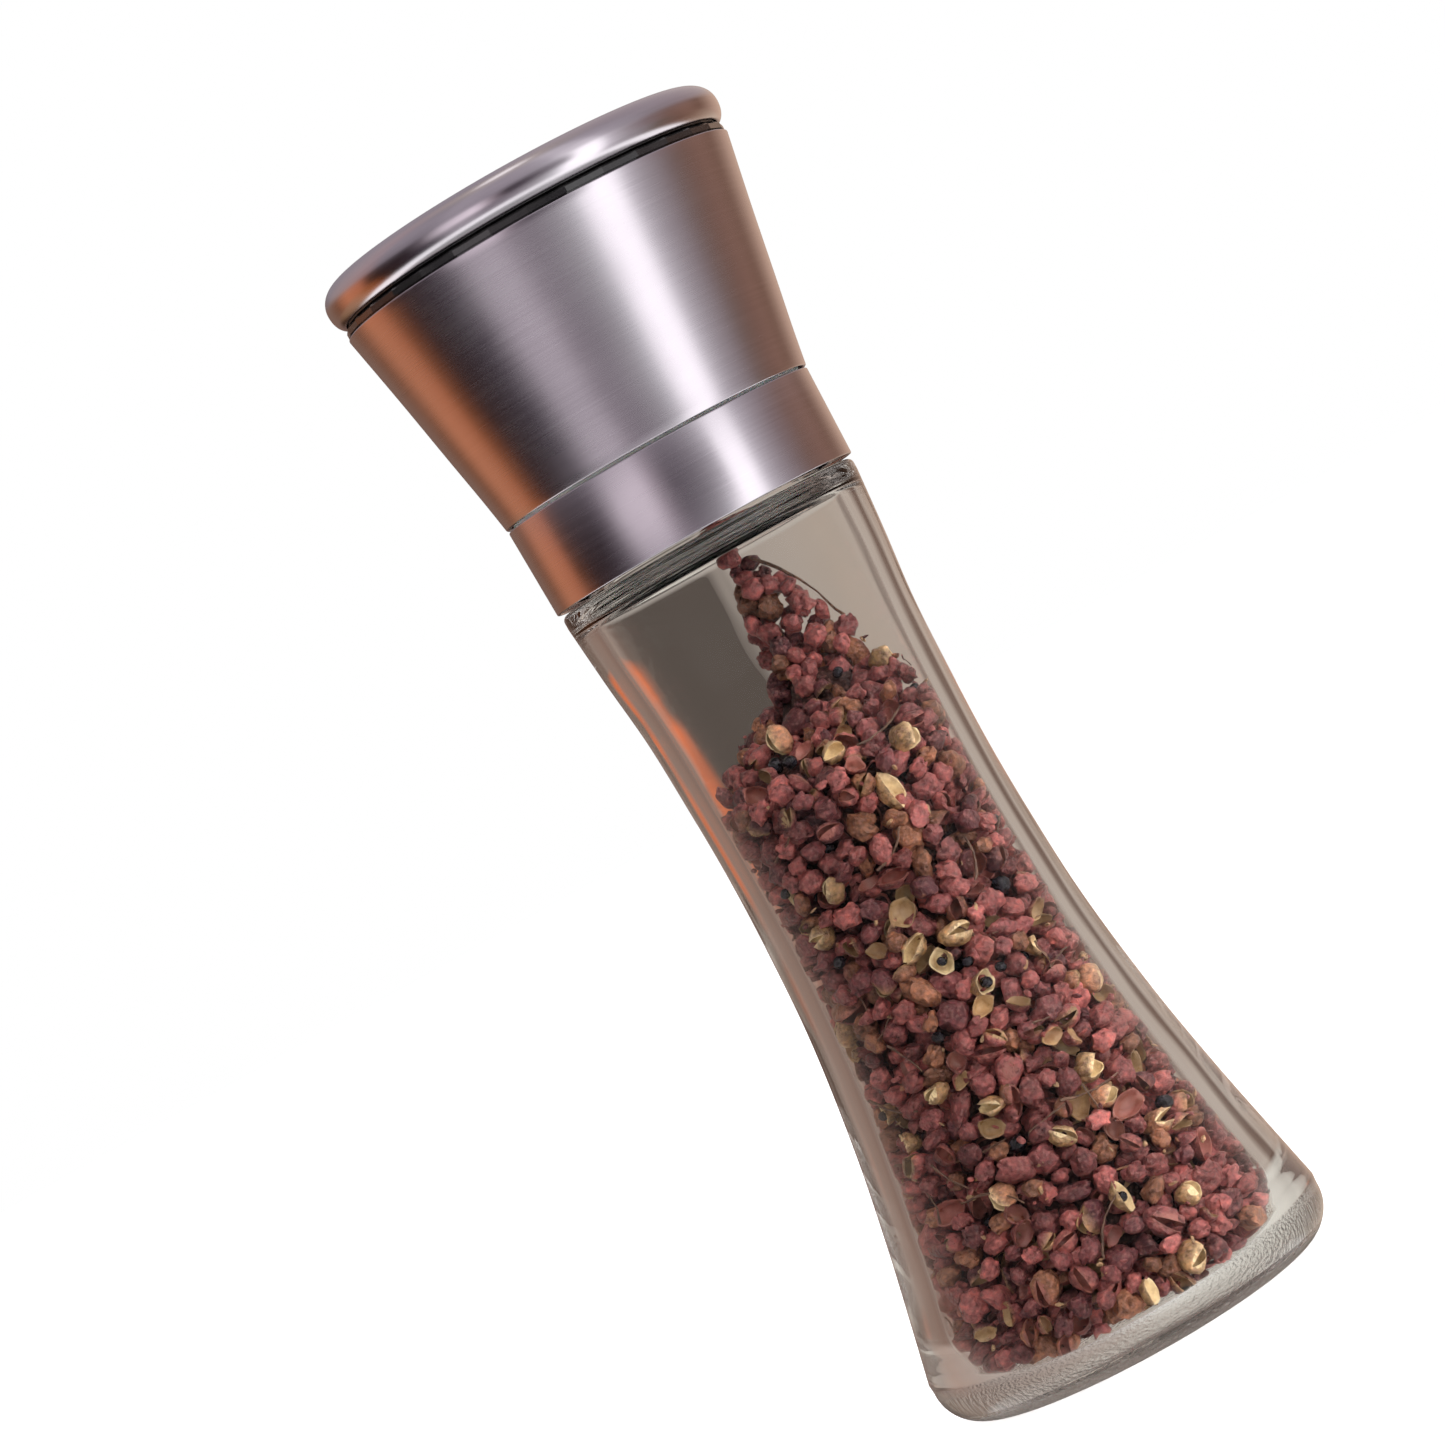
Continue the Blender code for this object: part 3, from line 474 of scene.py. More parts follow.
def twig_bark():
    f = Finish("twig_bark")
    bark = f.noise(700.0, 5.0, 0.65)
    f.color(f.ramp(bark, (0.25, (0.05, 0.028, 0.02)), (0.55, (0.17, 0.09, 0.06)), (0.85, (0.34, 0.2, 0.13))))
    f.roughness(f.span(bark, 0.5, 0.8))
    f.relief((bark, 0.0001))
    return f.material


def pale_floor():
    f = Finish("pale_floor")
    mottle = f.noise(3.0, 3.0, 0.5)
    f.color(f.ramp(mottle, (0.3, (0.84, 0.84, 0.84)), (0.7, (0.88, 0.88, 0.88))))
    f.set(Roughness=0.9, Specular_IOR_Level=0.1, Emission_Color=(1.0, 1.0, 1.0, 1.0), Emission_Strength=0.62)
    return f.material


# ------------------------------------------------------------------------------------------- settings

class MillJar(bpy.types.PropertyGroup):
    roundness: bpy.props.IntProperty(
        name="Jar roundness", description="Steps round the jar", default=160, min=48, max=256)
    thread_depth: bpy.props.FloatProperty(
        name="Thread depth", description="Height of the neck's thread",
        default=(NECK_CREST - NECK_RADIUS) * MM, min=0.0, max=0.002, unit="LENGTH")


class MillPepper(bpy.types.PropertyGroup):
    husk_size: bpy.props.FloatProperty(
        name="Husk size", description="Mean width of a husk", default=0.0045, min=0.002, max=0.008,
        unit="LENGTH")
    open_share: bpy.props.FloatProperty(
        name="Open husks", description="Share of husks that show their lining", default=0.34, min=0.0,
        max=1.0, subtype="FACTOR")
    seed: bpy.props.IntProperty(name="Shuffle", description="Changes how the husks fall", default=7, min=0)
    rose: bpy.props.FloatVectorProperty(
        name="Rose husk", description="Colour of the paler husks", default=(0.42, 0.13, 0.125),
        subtype="COLOR", min=0.0, max=1.0)
    plum: bpy.props.FloatVectorProperty(
        name="Plum husk", description="Colour of the darker husks", default=(0.085, 0.026, 0.035),
        subtype="COLOR", min=0.0, max=1.0)


class MillMetal(bpy.types.PropertyGroup):
    steel: bpy.props.FloatVectorProperty(
        name="Steel", description="Colour of the brushed steel", default=(0.60, 0.565, 0.60),
        subtype="COLOR", min=0.0, max=1.0)
    brushing: bpy.props.FloatProperty(
        name="Brushing", description="Roughness of the brushed steel", default=0.25, min=0.05,
        max=0.8, subtype="FACTOR")


# ------------------------------------------------------------------------------------------ operators

class MILL_OT_stage(bpy.types.Operator):
    """Lays the pale floor, the room that the steel and glass mirror, the lights and the camera"""
    bl_idname = "mill.stage"
    bl_label = "Stage, light and camera"

    def execute(self, context):
        scene = context.scene
        bm = bmesh.new()
        bmesh.ops.create_grid(bm, x_segments=2, y_segments=2, size=STAGE_REACH)
        floor = solid("floor", bm, pale_floor())
        floor.location.z = -STAGE_DROP
        floor.visible_glossy = False
        floor.visible_transmission = False
        scene.world = room_world()
        scene.view_settings.view_transform = "Standard"
        scene.cycles.max_bounces = 32
        scene.cycles.glossy_bounces = 16
        scene.cycles.transmission_bounces = 32
        for name, size, place, aim, power, tint in (
                ("key_light", (0.5, 0.6), (0.55, -0.75, 0.75), (0.0, 0.0, 0.09), 9.0, (1.0, 0.97, 0.93)),
                ("fill_light", (0.6, 0.8), (-0.8, -0.5, 0.35), (0.0, 0.0, 0.08), 3.0, (1.0, 0.93, 0.88)),
                ("top_light", (0.8, 0.8), (0.0, 0.0, 1.2), (0.0, 0.0, 0.0), 6.0, (1.0, 1.0, 1.0))):
            lamp = bpy.data.lights.new(name, "AREA")
            lamp.shape = "RECTANGLE"
            lamp.size, lamp.size_y = size
            lamp.energy = power
            lamp.color = tint
            obj = bpy.data.objects.new(name, lamp)
            scene.collection.objects.link(obj)
            obj.location = place
            away = obj.location - Vector(aim)
            obj.rotation_euler = away.to_track_quat("Z", "Y").to_euler()
            obj.visible_camera = False
            obj.visible_glossy = False
            obj.visible_transmission = False
        camera = bpy.data.cameras.new("camera")
        camera.lens = CAMERA_LENS
        camera.sensor_width = 36.0
        holder = bpy.data.objects.new("camera", camera)
        scene.collection.objects.link(holder)
        roll = math.radians(CAMERA_ROLL)
        right = (math.cos(roll), 0.0, -math.sin(roll))
        up = (math.sin(roll), 0.0, math.cos(roll))
        turned_to = Matrix((right, up, FRONT)).transposed().to_4x4()
        holder.matrix_world = Matrix.Translation(CAMERA_PLACE) @ turned_to
        scene.camera = holder
        return {"FINISHED"}


class Room:
    """The world's node tree: what light of each kind finds when it leaves the stage."""

    def __init__(self, name):
        self.world = bpy.data.worlds.new(name)
        self.world.use_nodes = True
        self.tree = self.world.node_tree
        self.tree.nodes.clear()

    def node(self, kind, settings=None, feeds=()):
        made = self.tree.nodes.new(kind)
        for key, value in (settings or {}).items():
            setattr(made, key, value)
        for key, value in feeds:
            if isinstance(value, bpy.types.NodeSocket):
                self.tree.links.new(value, made.inputs[key])
            else:
                made.inputs[key].default_value = value
        return made

    def math(self, kind, *values):
        return self.node("ShaderNodeMath", {"operation": kind}, tuple(enumerate(values))).outputs[0]

    def toward(self, way, aim):
        """How nearly a ray's way points to the aim: 1 straight at it, 0 from a right angle on."""
        turned_to = self.node("ShaderNodeVectorMath", {"operation": "DOT_PRODUCT"}, ((0, way), (1, aim)))
        return self.math("MAXIMUM", turned_to.outputs["Value"], 0.0)

    def share(self, value, low, high):
        limits = (("From Min", low), ("From Max", high), ("To Min", 0.0), ("To Max", 1.0))
        return self.node("ShaderNodeMapRange", None, (("Value", value), *limits)).outputs[0]

    def panels(self, share, low, high, *stops):
        """Colours by angle in degrees, eased from each stop to the next."""
        made = self.node("ShaderNodeValToRGB", None, (("Fac", share),))
        line = made.color_ramp
        while len(line.elements) < len(stops):
            line.elements.new(0.5)
        for element, (place, color) in zip(line.elements, stops):
            element.position = (place - low) / (high - low)
            element.color = (*color, 1.0) if isinstance(color, tuple) else (color, color, color, 1.0)
        return made.outputs["Color"]

    def mix(self, share, first, second):
        feeds = [(0, share)]
        for socket, value in ((6, first), (7, second)):
            feeds.append((socket, (*value, 1.0) if isinstance(value, tuple) else value))
        return self.node("ShaderNodeMix", {"data_type": "RGBA"}, feeds).outputs[2]

    def glow(self, color, strength):
        if isinstance(color, tuple):
            color = (*color, 1.0)
        return self.node("ShaderNodeBackground", None, (("Color", color), ("Strength", strength))).outputs[0]

    def either(self, share, first, second):
        return self.node("ShaderNodeMixShader", None, ((0, share), (1, first), (2, second))).outputs[0]


# Panels that the steel mirrors, by azimuth from the front in degrees, positive to the right: first those that
# stand lower, which the flared head mirrors, and then those at eye level, which the collar mirrors.
LOW_PANELS = (
    (-180, (0.02, 0.01, 0.006)), (-160, (0.03, 0.014, 0.008)), (-146, (0.16, 0.09, 0.05)),
    (-130, (0.25, 0.135, 0.08)), (-116, (0.31, 0.14, 0.075)), (-106, (0.25, 0.082, 0.028)),
    (-98, (0.17, 0.052, 0.018)), (-88, (0.018, 0.008, 0.006)), (-60, (0.018, 0.012, 0.018)),
    (-50, (0.05, 0.042, 0.05)), (-40, (0.2, 0.18, 0.2)), (-28, (0.22, 0.2, 0.22)),
    (-14, (0.15, 0.13, 0.148)), (0, (0.17, 0.15, 0.168)), (14, (0.25, 0.24, 0.25)),
    (24, (0.45, 0.45, 0.46)), (31, (1.0, 0.98, 1.0)), (50, (1.0, 0.98, 1.0)), (57, (0.42, 0.4, 0.42)),
    (68, (0.26, 0.24, 0.25)), (80, (0.19, 0.165, 0.17)), (92, (0.11, 0.08, 0.065)),
    (112, (0.13, 0.07, 0.05)), (126, (0.17, 0.1, 0.07)), (146, (0.27, 0.19, 0.14)),
    (165, (0.36, 0.28, 0.22)), (180, (0.1, 0.08, 0.06)))
LEVEL_PANELS = (
    (-180, (0.1, 0.06, 0.05)), (-156, (0.13, 0.08, 0.06)), (-138, (0.13, 0.055, 0.03)),
    (-122, (0.38, 0.14, 0.068)), (-106, (0.34, 0.115, 0.055)), (-98, (0.05, 0.02, 0.01)),
    (-86, (0.018, 0.01, 0.01)), (-66, (0.018, 0.012, 0.014)), (-56, (0.09, 0.075, 0.085)),
    (-42, (0.52, 0.47, 0.5)), (-22, (0.66, 0.59, 0.63)), (-13, (0.24, 0.2, 0.22)),
    (-4, (0.025, 0.018, 0.022)), (6, (0.03, 0.022, 0.03)), (18, (0.1, 0.085, 0.098)),
    (31, (0.2, 0.185, 0.2)), (37, (1.0, 0.98, 1.0)), (50, (1.0, 0.98, 1.0)), (57, (0.42, 0.4, 0.42)),
    (70, (0.24, 0.21, 0.22)), (82, (0.16, 0.12, 0.12)), (100, (0.14, 0.08, 0.06)),
    (116, (0.17, 0.095, 0.07)), (130, (0.12, 0.065, 0.045)), (150, (0.3, 0.2, 0.15)),
    (168, (0.36, 0.25, 0.19)), (180, (0.1, 0.07, 0.06)))
# What the glass bends into view, by the same azimuth: dim straight ahead and behind, a bright window to the
# front right, and a narrow dark post between the pale walls at the back right.
GLASS_PANELS = (
    (-180, (0.085, 0.068, 0.058)), (-172, (0.085, 0.068, 0.058)), (-165, (0.12, 0.085, 0.07)),
    (-156, (0.26, 0.2, 0.17)), (-148, (0.22, 0.165, 0.14)), (-134, (0.17, 0.12, 0.1)),
    (-100, (0.40, 0.35, 0.32)), (-70, (0.16, 0.15, 0.15)), (-30, (0.12, 0.115, 0.115)),
    (10, (0.12, 0.115, 0.12)), (20, (0.95, 0.93, 0.93)), (55, (0.95, 0.93, 0.93)),
    (70, (0.2, 0.19, 0.19)), (105, (0.42, 0.37, 0.33)), (138, (0.42, 0.35, 0.3)),
    (146, (0.15, 0.1, 0.08)), (151, (0.11, 0.07, 0.055)), (157, (0.42, 0.35, 0.3)),
    (170, (0.38, 0.31, 0.26)), (178.6, (0.33, 0.28, 0.245)), (180, (0.12, 0.098, 0.086)))


def room_world():
    """What each kind of light finds in the room.

    It is white to the eye and soft upright panels to steel and glass. What lies in the jar gets slanting
    light, and the rest gets even light.
    """
    room = Room("studio")
    coords = room.node("ShaderNodeTexCoord")
    parts = room.node("ShaderNodeSeparateXYZ", None, ((0, coords.outputs["Generated"]),))
    front = room.math("MULTIPLY", parts.outputs["Y"], -1.0)
    around = room.share(room.math("ARCTAN2", parts.outputs["X"], front), -math.pi, math.pi)
    rise = room.share(room.math("ARCSINE", parts.outputs["Z"]), -math.pi / 2, math.pi / 2)
    low = room.panels(around, -180, 180, *LOW_PANELS)
    level = room.panels(around, -180, 180, *LEVEL_PANELS)
    lavender = (0.25, 0.225, 0.25)
    at_level = room.panels(rise, -90, 90, (-90, 0.0), (-11, 0.0), (-7, 1.0), (8, 1.0), (14, 0.0))
    walls = room.mix(at_level, low, level)
    higher = room.panels(rise, -90, 90, (-90, 0.0), (7, 0.0), (16, 0.6), (40, 0.8), (90, 0.8))
    walls = room.mix(higher, walls, lavender)
    cover = room.panels(rise, -90, 90, (-90, 0.9), (-52, 0.9), (-46, 0.8), (-36, 0.8), (-30, 0.0), (60, 0.0),
                        (74, 0.6), (80, 1.0), (90, 1.0))
    beyond = room.panels(rise, -90, 90, (-90, 0.25), (-54, 0.25), (-48, 0.9), (-34, 0.9), (0, 0.3),
                         (70, (0.26, 0.23, 0.21)), (80, (0.3, 0.26, 0.24)), (85, (0.85, 0.82, 0.8)),
                         (90, (0.85, 0.82, 0.8)))
    mirrored = room.glow(room.mix(cover, walls, beyond), 2.0)

    behind = room.panels(around, -180, 180, *GLASS_PANELS)
    lamp = room.panels(around, -180, 180, (-180, 0.0), (-169, 0.0), (-162, 1.0), (-157, 0.8), (-149, 0.0))
    eye_level = room.panels(rise, -90, 90, (-90, 0.0), (-5, 0.0), (-2.4, 0.3), (-0.9, 0.9), (0.3, 0.9),
                            (1.3, 0.0))
    glowing = room.math("MULTIPLY", lamp, eye_level)
    behind = room.mix(glowing, behind, (0.78, 0.17, 0.05))
    aloft = room.panels(rise, -90, 90, (-90, 0.9), (-13, 0.85), (-7, 0.0), (14, 0.0), (30, 0.8), (90, 1.0))
    far = room.panels(around, -180, 180, (-180, (0.46, 0.41, 0.37)), (-150, (0.36, 0.28, 0.24)),
                      (-60, (0.46, 0.4, 0.37)), (30, (0.7, 0.67, 0.63)), (120, (0.66, 0.63, 0.57)),
                      (160, (0.62, 0.59, 0.53)), (180, (0.46, 0.41, 0.37)))
    through = room.glow(room.mix(aloft, behind, far), 1.15)

    # In the jar light comes from the front right and the back left, both from above, and some from below.
    key = room.toward(coords.outputs["Generated"], (0.70, -0.52, 0.49))
    lit = room.math("MULTIPLY_ADD", room.math("POWER", key, 1.8), 5.6, 0.03)
    rear = room.toward(coords.outputs["Generated"], (-0.45, 0.8, 0.4))
    lit = room.math("MULTIPLY_ADD", rear, 1.6, lit)
    upward = room.math("MAXIMUM", room.math("MULTIPLY", parts.outputs["Z"], -1.0), 0.0)
    lit = room.math("MULTIPLY_ADD", upward, 1.3, lit)
    inside = room.glow((1.0, 0.95, 0.92), lit)
    even = room.glow((1.0, 0.985, 0.975), 0.6)

    path = room.node("ShaderNodeLightPath")
    scattered = room.math("GREATER_THAN", path.outputs["Diffuse Depth"], 0.5)
    seen = room.either(path.outputs["Is Transmission Ray"], mirrored, through)
    lighting = room.either(path.outputs["Is Transmission Ray"], even, inside)
    found = room.either(scattered, seen, lighting)
    clear = room.glow((1.0, 1.0, 1.0), 1.0)
    final = room.either(path.outputs["Is Camera Ray"], found, clear)
    room.node("ShaderNodeOutputWorld", None, (("Surface", final),))
    return room.world


def inner_wall():
    """The cavity from its floor to the throat, as (radius, height)."""
    side = JAR_INNER[0][1]
    return ([(0.0, FLOOR + 0.4), (8.0, FLOOR + 0.36), (15.0, FLOOR + 0.15)]
            + arc((side - FLOOR_CORNER, FLOOR + FLOOR_CORNER), FLOOR_CORNER, -90, -8, 14)
            + stations(JAR_INNER, 56)
            + arc((18.6, 128.0), 1.9, 0, 70, 6)
            + [(18.2, 130.05), (17.4, 130.5), (16.9, 131.1), (16.62, 132.0)])


class MILL_OT_jar(bpy.types.Operator):
    """Presses the thick-walled waisted jar with its threaded neck"""
    bl_idname = "mill.jar"
    bl_label = "Glass jar"

    def execute(self, context):
        settings = context.scene.mill_jar
        outside = ([(0.0, 1.4), (10.0, 1.3), (18.0, 1.05), (19.6, 0.8), (21.0, 0.15), (22.0, 0.0)]
                   + arc((FOOT_RADIUS, HEEL), HEEL, -90, 4, 22)
                   + stations(JAR_OUTER, 70)
                   + arc((23.25, 131.0), 0.9, 8, 90, 6)
                   + [(20.4, SHOULDER), (19.7, 132.0), (NECK_RADIUS, 132.4)])
        rise = [(NECK_RADIUS, z) for z in np.arange(132.8, NECK_TOP - 0.8, 0.3)]
        lip = (arc((NECK_RADIUS - LIP, NECK_TOP - LIP), LIP, 10, 90, 4)
               + arc((NECK_BORE + LIP, NECK_TOP - LIP), LIP, 90, 170, 4))
        inside = [(NECK_BORE, 144.0), (NECK_BORE, 138.0), (NECK_BORE, 133.2)] + inner_wall()[::-1]
        depth = settings.thread_depth / MM

        def ridge(radius, height, angle):
            if radius < NECK_RADIUS - 0.05 or height < NECK_PLAIN:
                return radius
            return radius + depth * thread_height(height, angle)

        profile = outside + rise + lip + inside
        jar = turned("clear_jar", profile, clear_glass(), settings.roundness, ridge, sharp=0)
        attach(jar, "jar")
        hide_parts("glass_jar")
        return {"FINISHED"}


def lumps(rng, count, pitch, depth):
    """A smooth uneven swelling over directions, as a function that takes rows of them."""
    waves = rng.normal(size=(count, 3)) * pitch
    phases = rng.uniform(0, TURN, count)
    return lambda d: np.sin(d @ waves.T + phases).sum(axis=1) * depth / math.sqrt(count)


def dents(rng, count, depth, width):
    """Hollows where a drying husk has fallen in."""
    centers = rng.normal(size=(count, 3))
    centers /= np.linalg.norm(centers, axis=1)[:, None]
    deep = rng.uniform(0.4, 1.0, count) * depth

    def fall(d):
        off = np.arccos(np.clip(d @ centers.T, -1, 1))
        return -(np.exp(-(off / width) ** 2) * deep).sum(axis=1)

    return fall


def husk_shape(rng, opened, rings=10, around=15):
    """One husk about 1 across: a thin wrinkled shell, split so that it gapes towards +X by so many degrees.

    Returns points, faces, which faces are lining, and how pale each point is.
    """
    gape = math.radians(opened)
    broad, fine, hollow = lumps(rng, 5, 2.4, 0.1), lumps(rng, 10, 6.5, 0.06), dents(rng, 3, 0.2, 0.45)
    stretch = np.array([rng.uniform(0.75, 1.1), rng.uniform(0.7, 1.0), rng.uniform(0.9, 1.3)])
    lat = np.repeat(np.linspace(0.12, math.pi - 0.12, rings + 1), around)
    side = np.tile(np.linspace(0, 1, around), rings + 1)
    lon = gape / 2 + (TURN - gape) * side
    d = np.stack([np.sin(lat) * np.cos(lon), np.sin(lat) * np.sin(lon), np.cos(lat)], axis=1)
    swell = 1 + broad(d) + hollow(d)
    lip = np.clip(1 - np.minimum(side, 1 - side) * (around - 1) / 1.6, 0, 1)
    outer = d * (0.5 * (swell + fine(d) + 0.05 * lip))[:, None] * stretch
    inner = d * (0.5 * (swell * 0.86 + 0.13 * lip))[:, None] * stretch
    points = np.concatenate([outer, inner])
    base = len(outer)
    faces, lining = [], []
    for i in range(rings):
        for j in range(around - 1):
            a = i * around + j
            b, c = a + 1, a + around
            faces += [(a, c, c + 1, b), (base + a, base + b, base + c + 1, base + c)]
            lining += [False, True]
        for j in (0, around - 1):
            a, c = i * around + j, (i + 1) * around + j
            faces.append((a, base + a, base + c, c) if j else (c, base + c, base + a, a))
            lining.append(True)
    for ring, turn in ((0, 1), (rings * around, -1)):
        faces.append(tuple(range(ring, ring + around))[::turn])
        lining.append(False)
        faces.append(tuple(range(base + ring, base + ring + around))[::-turn])
        lining.append(True)
    return points, faces, lining, np.concatenate([lip * 0.8, np.full(base, 1.0)])


def pod_shape(rng, rings=11, around=16):
    """A closed husk: a lumpy ball that has fallen in here and there, with a seam and a stub."""
    broad, fine, hollow = lumps(rng, 5, 2.6, 0.15), lumps(rng, 12, 6.5, 0.1), dents(rng, 5, 0.4, 0.36)
    stretch = np.array([rng.uniform(0.9, 1.3), rng.uniform(0.75, 1.0), rng.uniform(0.6, 0.95)])
    lat = np.repeat(math.pi * np.arange(1, rings) / rings, around)
    lon = np.tile(TURN * np.arange(around) / around, rings - 1)
    d = np.stack([np.sin(lat) * np.cos(lon), np.sin(lat) * np.sin(lon), np.cos(lat)], axis=1)
    d = np.concatenate([[[0, 0, 1]], d, [[0, 0, -1]]])
    seam = np.concatenate([[0], -0.14 * np.exp(-((lon - math.pi) / 0.3) ** 2) * np.sin(lat), [0]])
    radius = 0.5 * (1 + broad(d) + fine(d) + hollow(d)) + seam
    radius[0] += 0.07
    points = d * radius[:, None] * stretch
    end = len(points) - 1
    last = 1 + (rings - 2) * around
    faces = []
    for j in range(around):
        k = (j + 1) % around
        faces += [(0, 1 + j, 1 + k), (end, last + k, last + j)]
        for i in range(rings - 2):
            a, b = 1 + i * around + j, 1 + i * around + k
            faces.append((a, a + around, b + around, b))
    pale = np.clip(fine(d) * 9, 0, 1) * 0.35
    return points, faces, [False] * len(faces), pale


def seed_shape(rng):
    points, faces, lining, _ = pod_shape(rng, 7, 10)
    d = points / np.linalg.norm(points, axis=1)[:, None]
    return d * 0.5 * np.array([1.0, 0.92, 0.86]), faces, lining, np.zeros(len(points))


def stem_shape(rng, ends, bow, width, out_of=None, sides=6, steps=10):
    """A crooked dry stem between two points in millimetres."""
    first, last = (np.array(end, float) for end in ends)
    along = last - first
    aside = np.cross(along, out_of if out_of is not None else rng.normal(size=3))
    aside /= np.linalg.norm(aside)
    up = np.cross(aside, along)
    up /= np.linalg.norm(up)
    kink = rng.normal(size=(steps + 1, 2)) * width * 0.16
    points = []
    for i in range(steps + 1):
        t = i / steps
        center = first + along * t + aside * (bow * math.sin(math.pi * t) + kink[i][0]) + up * kink[i][1]
        thick = width * (0.6 - 0.22 * t + 0.12 * math.sin(9 * t + bow))
        for j in range(sides):
            a = TURN * j / sides
            points.append(center + thick * (aside * math.cos(a) + up * math.sin(a)))
    faces = [tuple(range(sides)), tuple(range(steps * sides, (steps + 1) * sides))[::-1]]
    for i in range(steps):
        for j in range(sides):
            a, b = i * sides + j, i * sides + (j + 1) % sides
            faces.append((a, a + sides, b + sides, b))
    return np.array(points), faces, [False] * len(faces), np.zeros(len(points))


def heap_height(x, y):
    """Height of the load's top surface in millimetres."""
    tops = []
    for (cx, cy, top), left, right, front in (HEAP, TONGUE):
        across = np.where(x < cx, left, right) * (x - cx)
        tops.append(top - np.hypot(across, (y - cy) * front))
    return np.maximum(*tops)


def cavity_radius(z):
    """Radius of the inside of the jar at heights in millimetres."""
    corner = np.clip((FLOOR + FLOOR_CORNER - z) / FLOOR_CORNER, 0, 1)
    side = radius_at(JAR_INNER, np.clip(z, JAR_INNER[0][0], JAR_INNER[-1][0]))
    throat = np.interp(z, *zip(*THROAT))
    side = np.where(z > JAR_INNER[-1][0], throat, side)
    return side - FLOOR_CORNER * (1 - np.sqrt(1 - corner**2 * 0.999))


def random_turn(rng):
    q = rng.normal(size=4)
    w, x, y, z = q / np.linalg.norm(q)
    return np.array([[1 - 2 * (y * y + z * z), 2 * (x * y - z * w), 2 * (x * z + y * w)],
                     [2 * (x * y + z * w), 1 - 2 * (x * x + z * z), 2 * (y * z - x * w)],
                     [2 * (x * z - y * w), 2 * (y * z + x * w), 1 - 2 * (x * x + y * y)]])


def facing(rng, direction):
    """A turn that brings a husk's split (+X) to face the direction, spun at random about it."""
    x = np.array(direction, float)
    x /= np.linalg.norm(x)
    z = np.cross(x, rng.normal(size=3))
    z /= np.linalg.norm(z)
    y = np.cross(z, x)
    return np.stack([x, y, z], axis=1)


def near_any(grid, cell, spot, share):
    """Whether the spot (x, y, z, width) is nearer to one in the grid than this share of their mean width."""
    x, y, z, width = spot
    i, j, k = int(x // cell), int(y // cell), int(z // cell)
    for key in [(i + a, j + b, k + c) for a in (-1, 0, 1) for b in (-1, 0, 1) for c in (-1, 0, 1)]:
        for px, py, pz, other in grid.get(key, ()):
            gap = (width + other) * 0.5 * share
            if (px - x)**2 + (py - y)**2 + (pz - z)**2 < gap * gap:
                return True
    return False


def add_spot(grid, cell, spot):
    grid.setdefault((int(spot[0] // cell), int(spot[1] // cell), int(spot[2] // cell)), []).append(spot)


def scatter(rng, size, grid, cell):
    """Centres for husks in the load's outer layers, none nearer than most of a husk."""
    z = rng.uniform(FLOOR + 1.0, 131.0, TRIES)
    wide = cavity_radius(z)
    r = wide * np.sqrt(rng.uniform(0.0, 1.0, TRIES))
    a = rng.uniform(0, TURN, TRIES)
    x, y = r * np.cos(a), r * np.sin(a)
    width = size * rng.uniform(0.66, 1.16, TRIES)
    depth = np.minimum(np.minimum(wide - r, (heap_height(x, y) - z) * 0.75), z - FLOOR)
    fits = (depth > width * 0.36) & (depth < size * 2.0)
    spots = []
    for spot in np.stack([x, y, z, width], axis=1)[fits]:
        if not near_any(grid, cell, spot, 0.76):
            add_spot(grid, cell, spot)
            spots.append(spot)
    return spots


def inside_jar(points, clearance=0.25):
    """Points in millimetres pressed back inside the glass."""
    points[:, 2] = np.maximum(points[:, 2], FLOOR + 0.6 + clearance)
    r = np.hypot(points[:, 0], points[:, 1])
    most = cavity_radius(points[:, 2]) - clearance
    share = np.where(r > most, most / np.maximum(r, 1e-6), 1.0)
    points[:, 0] *= share
    points[:, 1] *= share
    return points


def joined(name, shapes, materials):
    """One mesh from (points in mm, faces, lining flags, paleness, colour, rim colour) shapes."""
    points = np.concatenate([shape[0] for shape in shapes]) * MM
    faces, slots, tones = [], [], []
    start = 0
    for own, own_faces, lining, pale, color, rim in shapes:
        faces += [tuple(i + start for i in face) for face in own_faces]
        slots += [int(lined) for lined in lining]
        tone = np.outer(1 - pale, color) + np.outer(pale, rim)
        tones.append(np.hstack([tone, np.ones((len(own), 1))]))
        start += len(own)
    mesh = bpy.data.meshes.new(name)
    mesh.from_pydata(points.tolist(), [], faces)
    for material in materials:
        mesh.materials.append(material)
    if len(materials) > 1:
        mesh.polygons.foreach_set("material_index", slots)
    attribute = mesh.attributes.new("husk_color", "FLOAT_COLOR", "POINT")
    attribute.data.foreach_set("color", np.concatenate(tones).ravel())
    mesh.shade_smooth()
    mesh.set_sharp_from_angle(angle=math.radians(55))
    mesh.update()
    obj = bpy.data.objects.new(name, mesh)
    bpy.context.scene.collection.objects.link(obj)
    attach(obj, "jar")
    return obj


def husk_tone(rng, settings):
    """A husk's own colour, from plum to rose, now and then tan, and the paler colour of its worn edges."""
    share = rng.beta(1.2, 1.1)
    color = np.array(settings.plum) * (1 - share) + np.array(settings.rose) * share
    if rng.uniform() < 0.13:
        color = np.array(TAN_HUSK) * rng.uniform(0.5, 1.1)
    color = color * rng.uniform(0.75, 1.3)
    return color, np.clip(color * 1.5 + np.array((0.10, 0.05, 0.035)), 0, 1)


def at_glass(x, z, inset):
    """The point against the front glass at a sideways place and a height, in millimetres."""
    wide = float(cavity_radius(np.array(z))) - inset
    x = max(-wide * 0.97, min(wide * 0.97, x))
    return np.array([x, -math.sqrt(wide * wide - x * x), z])


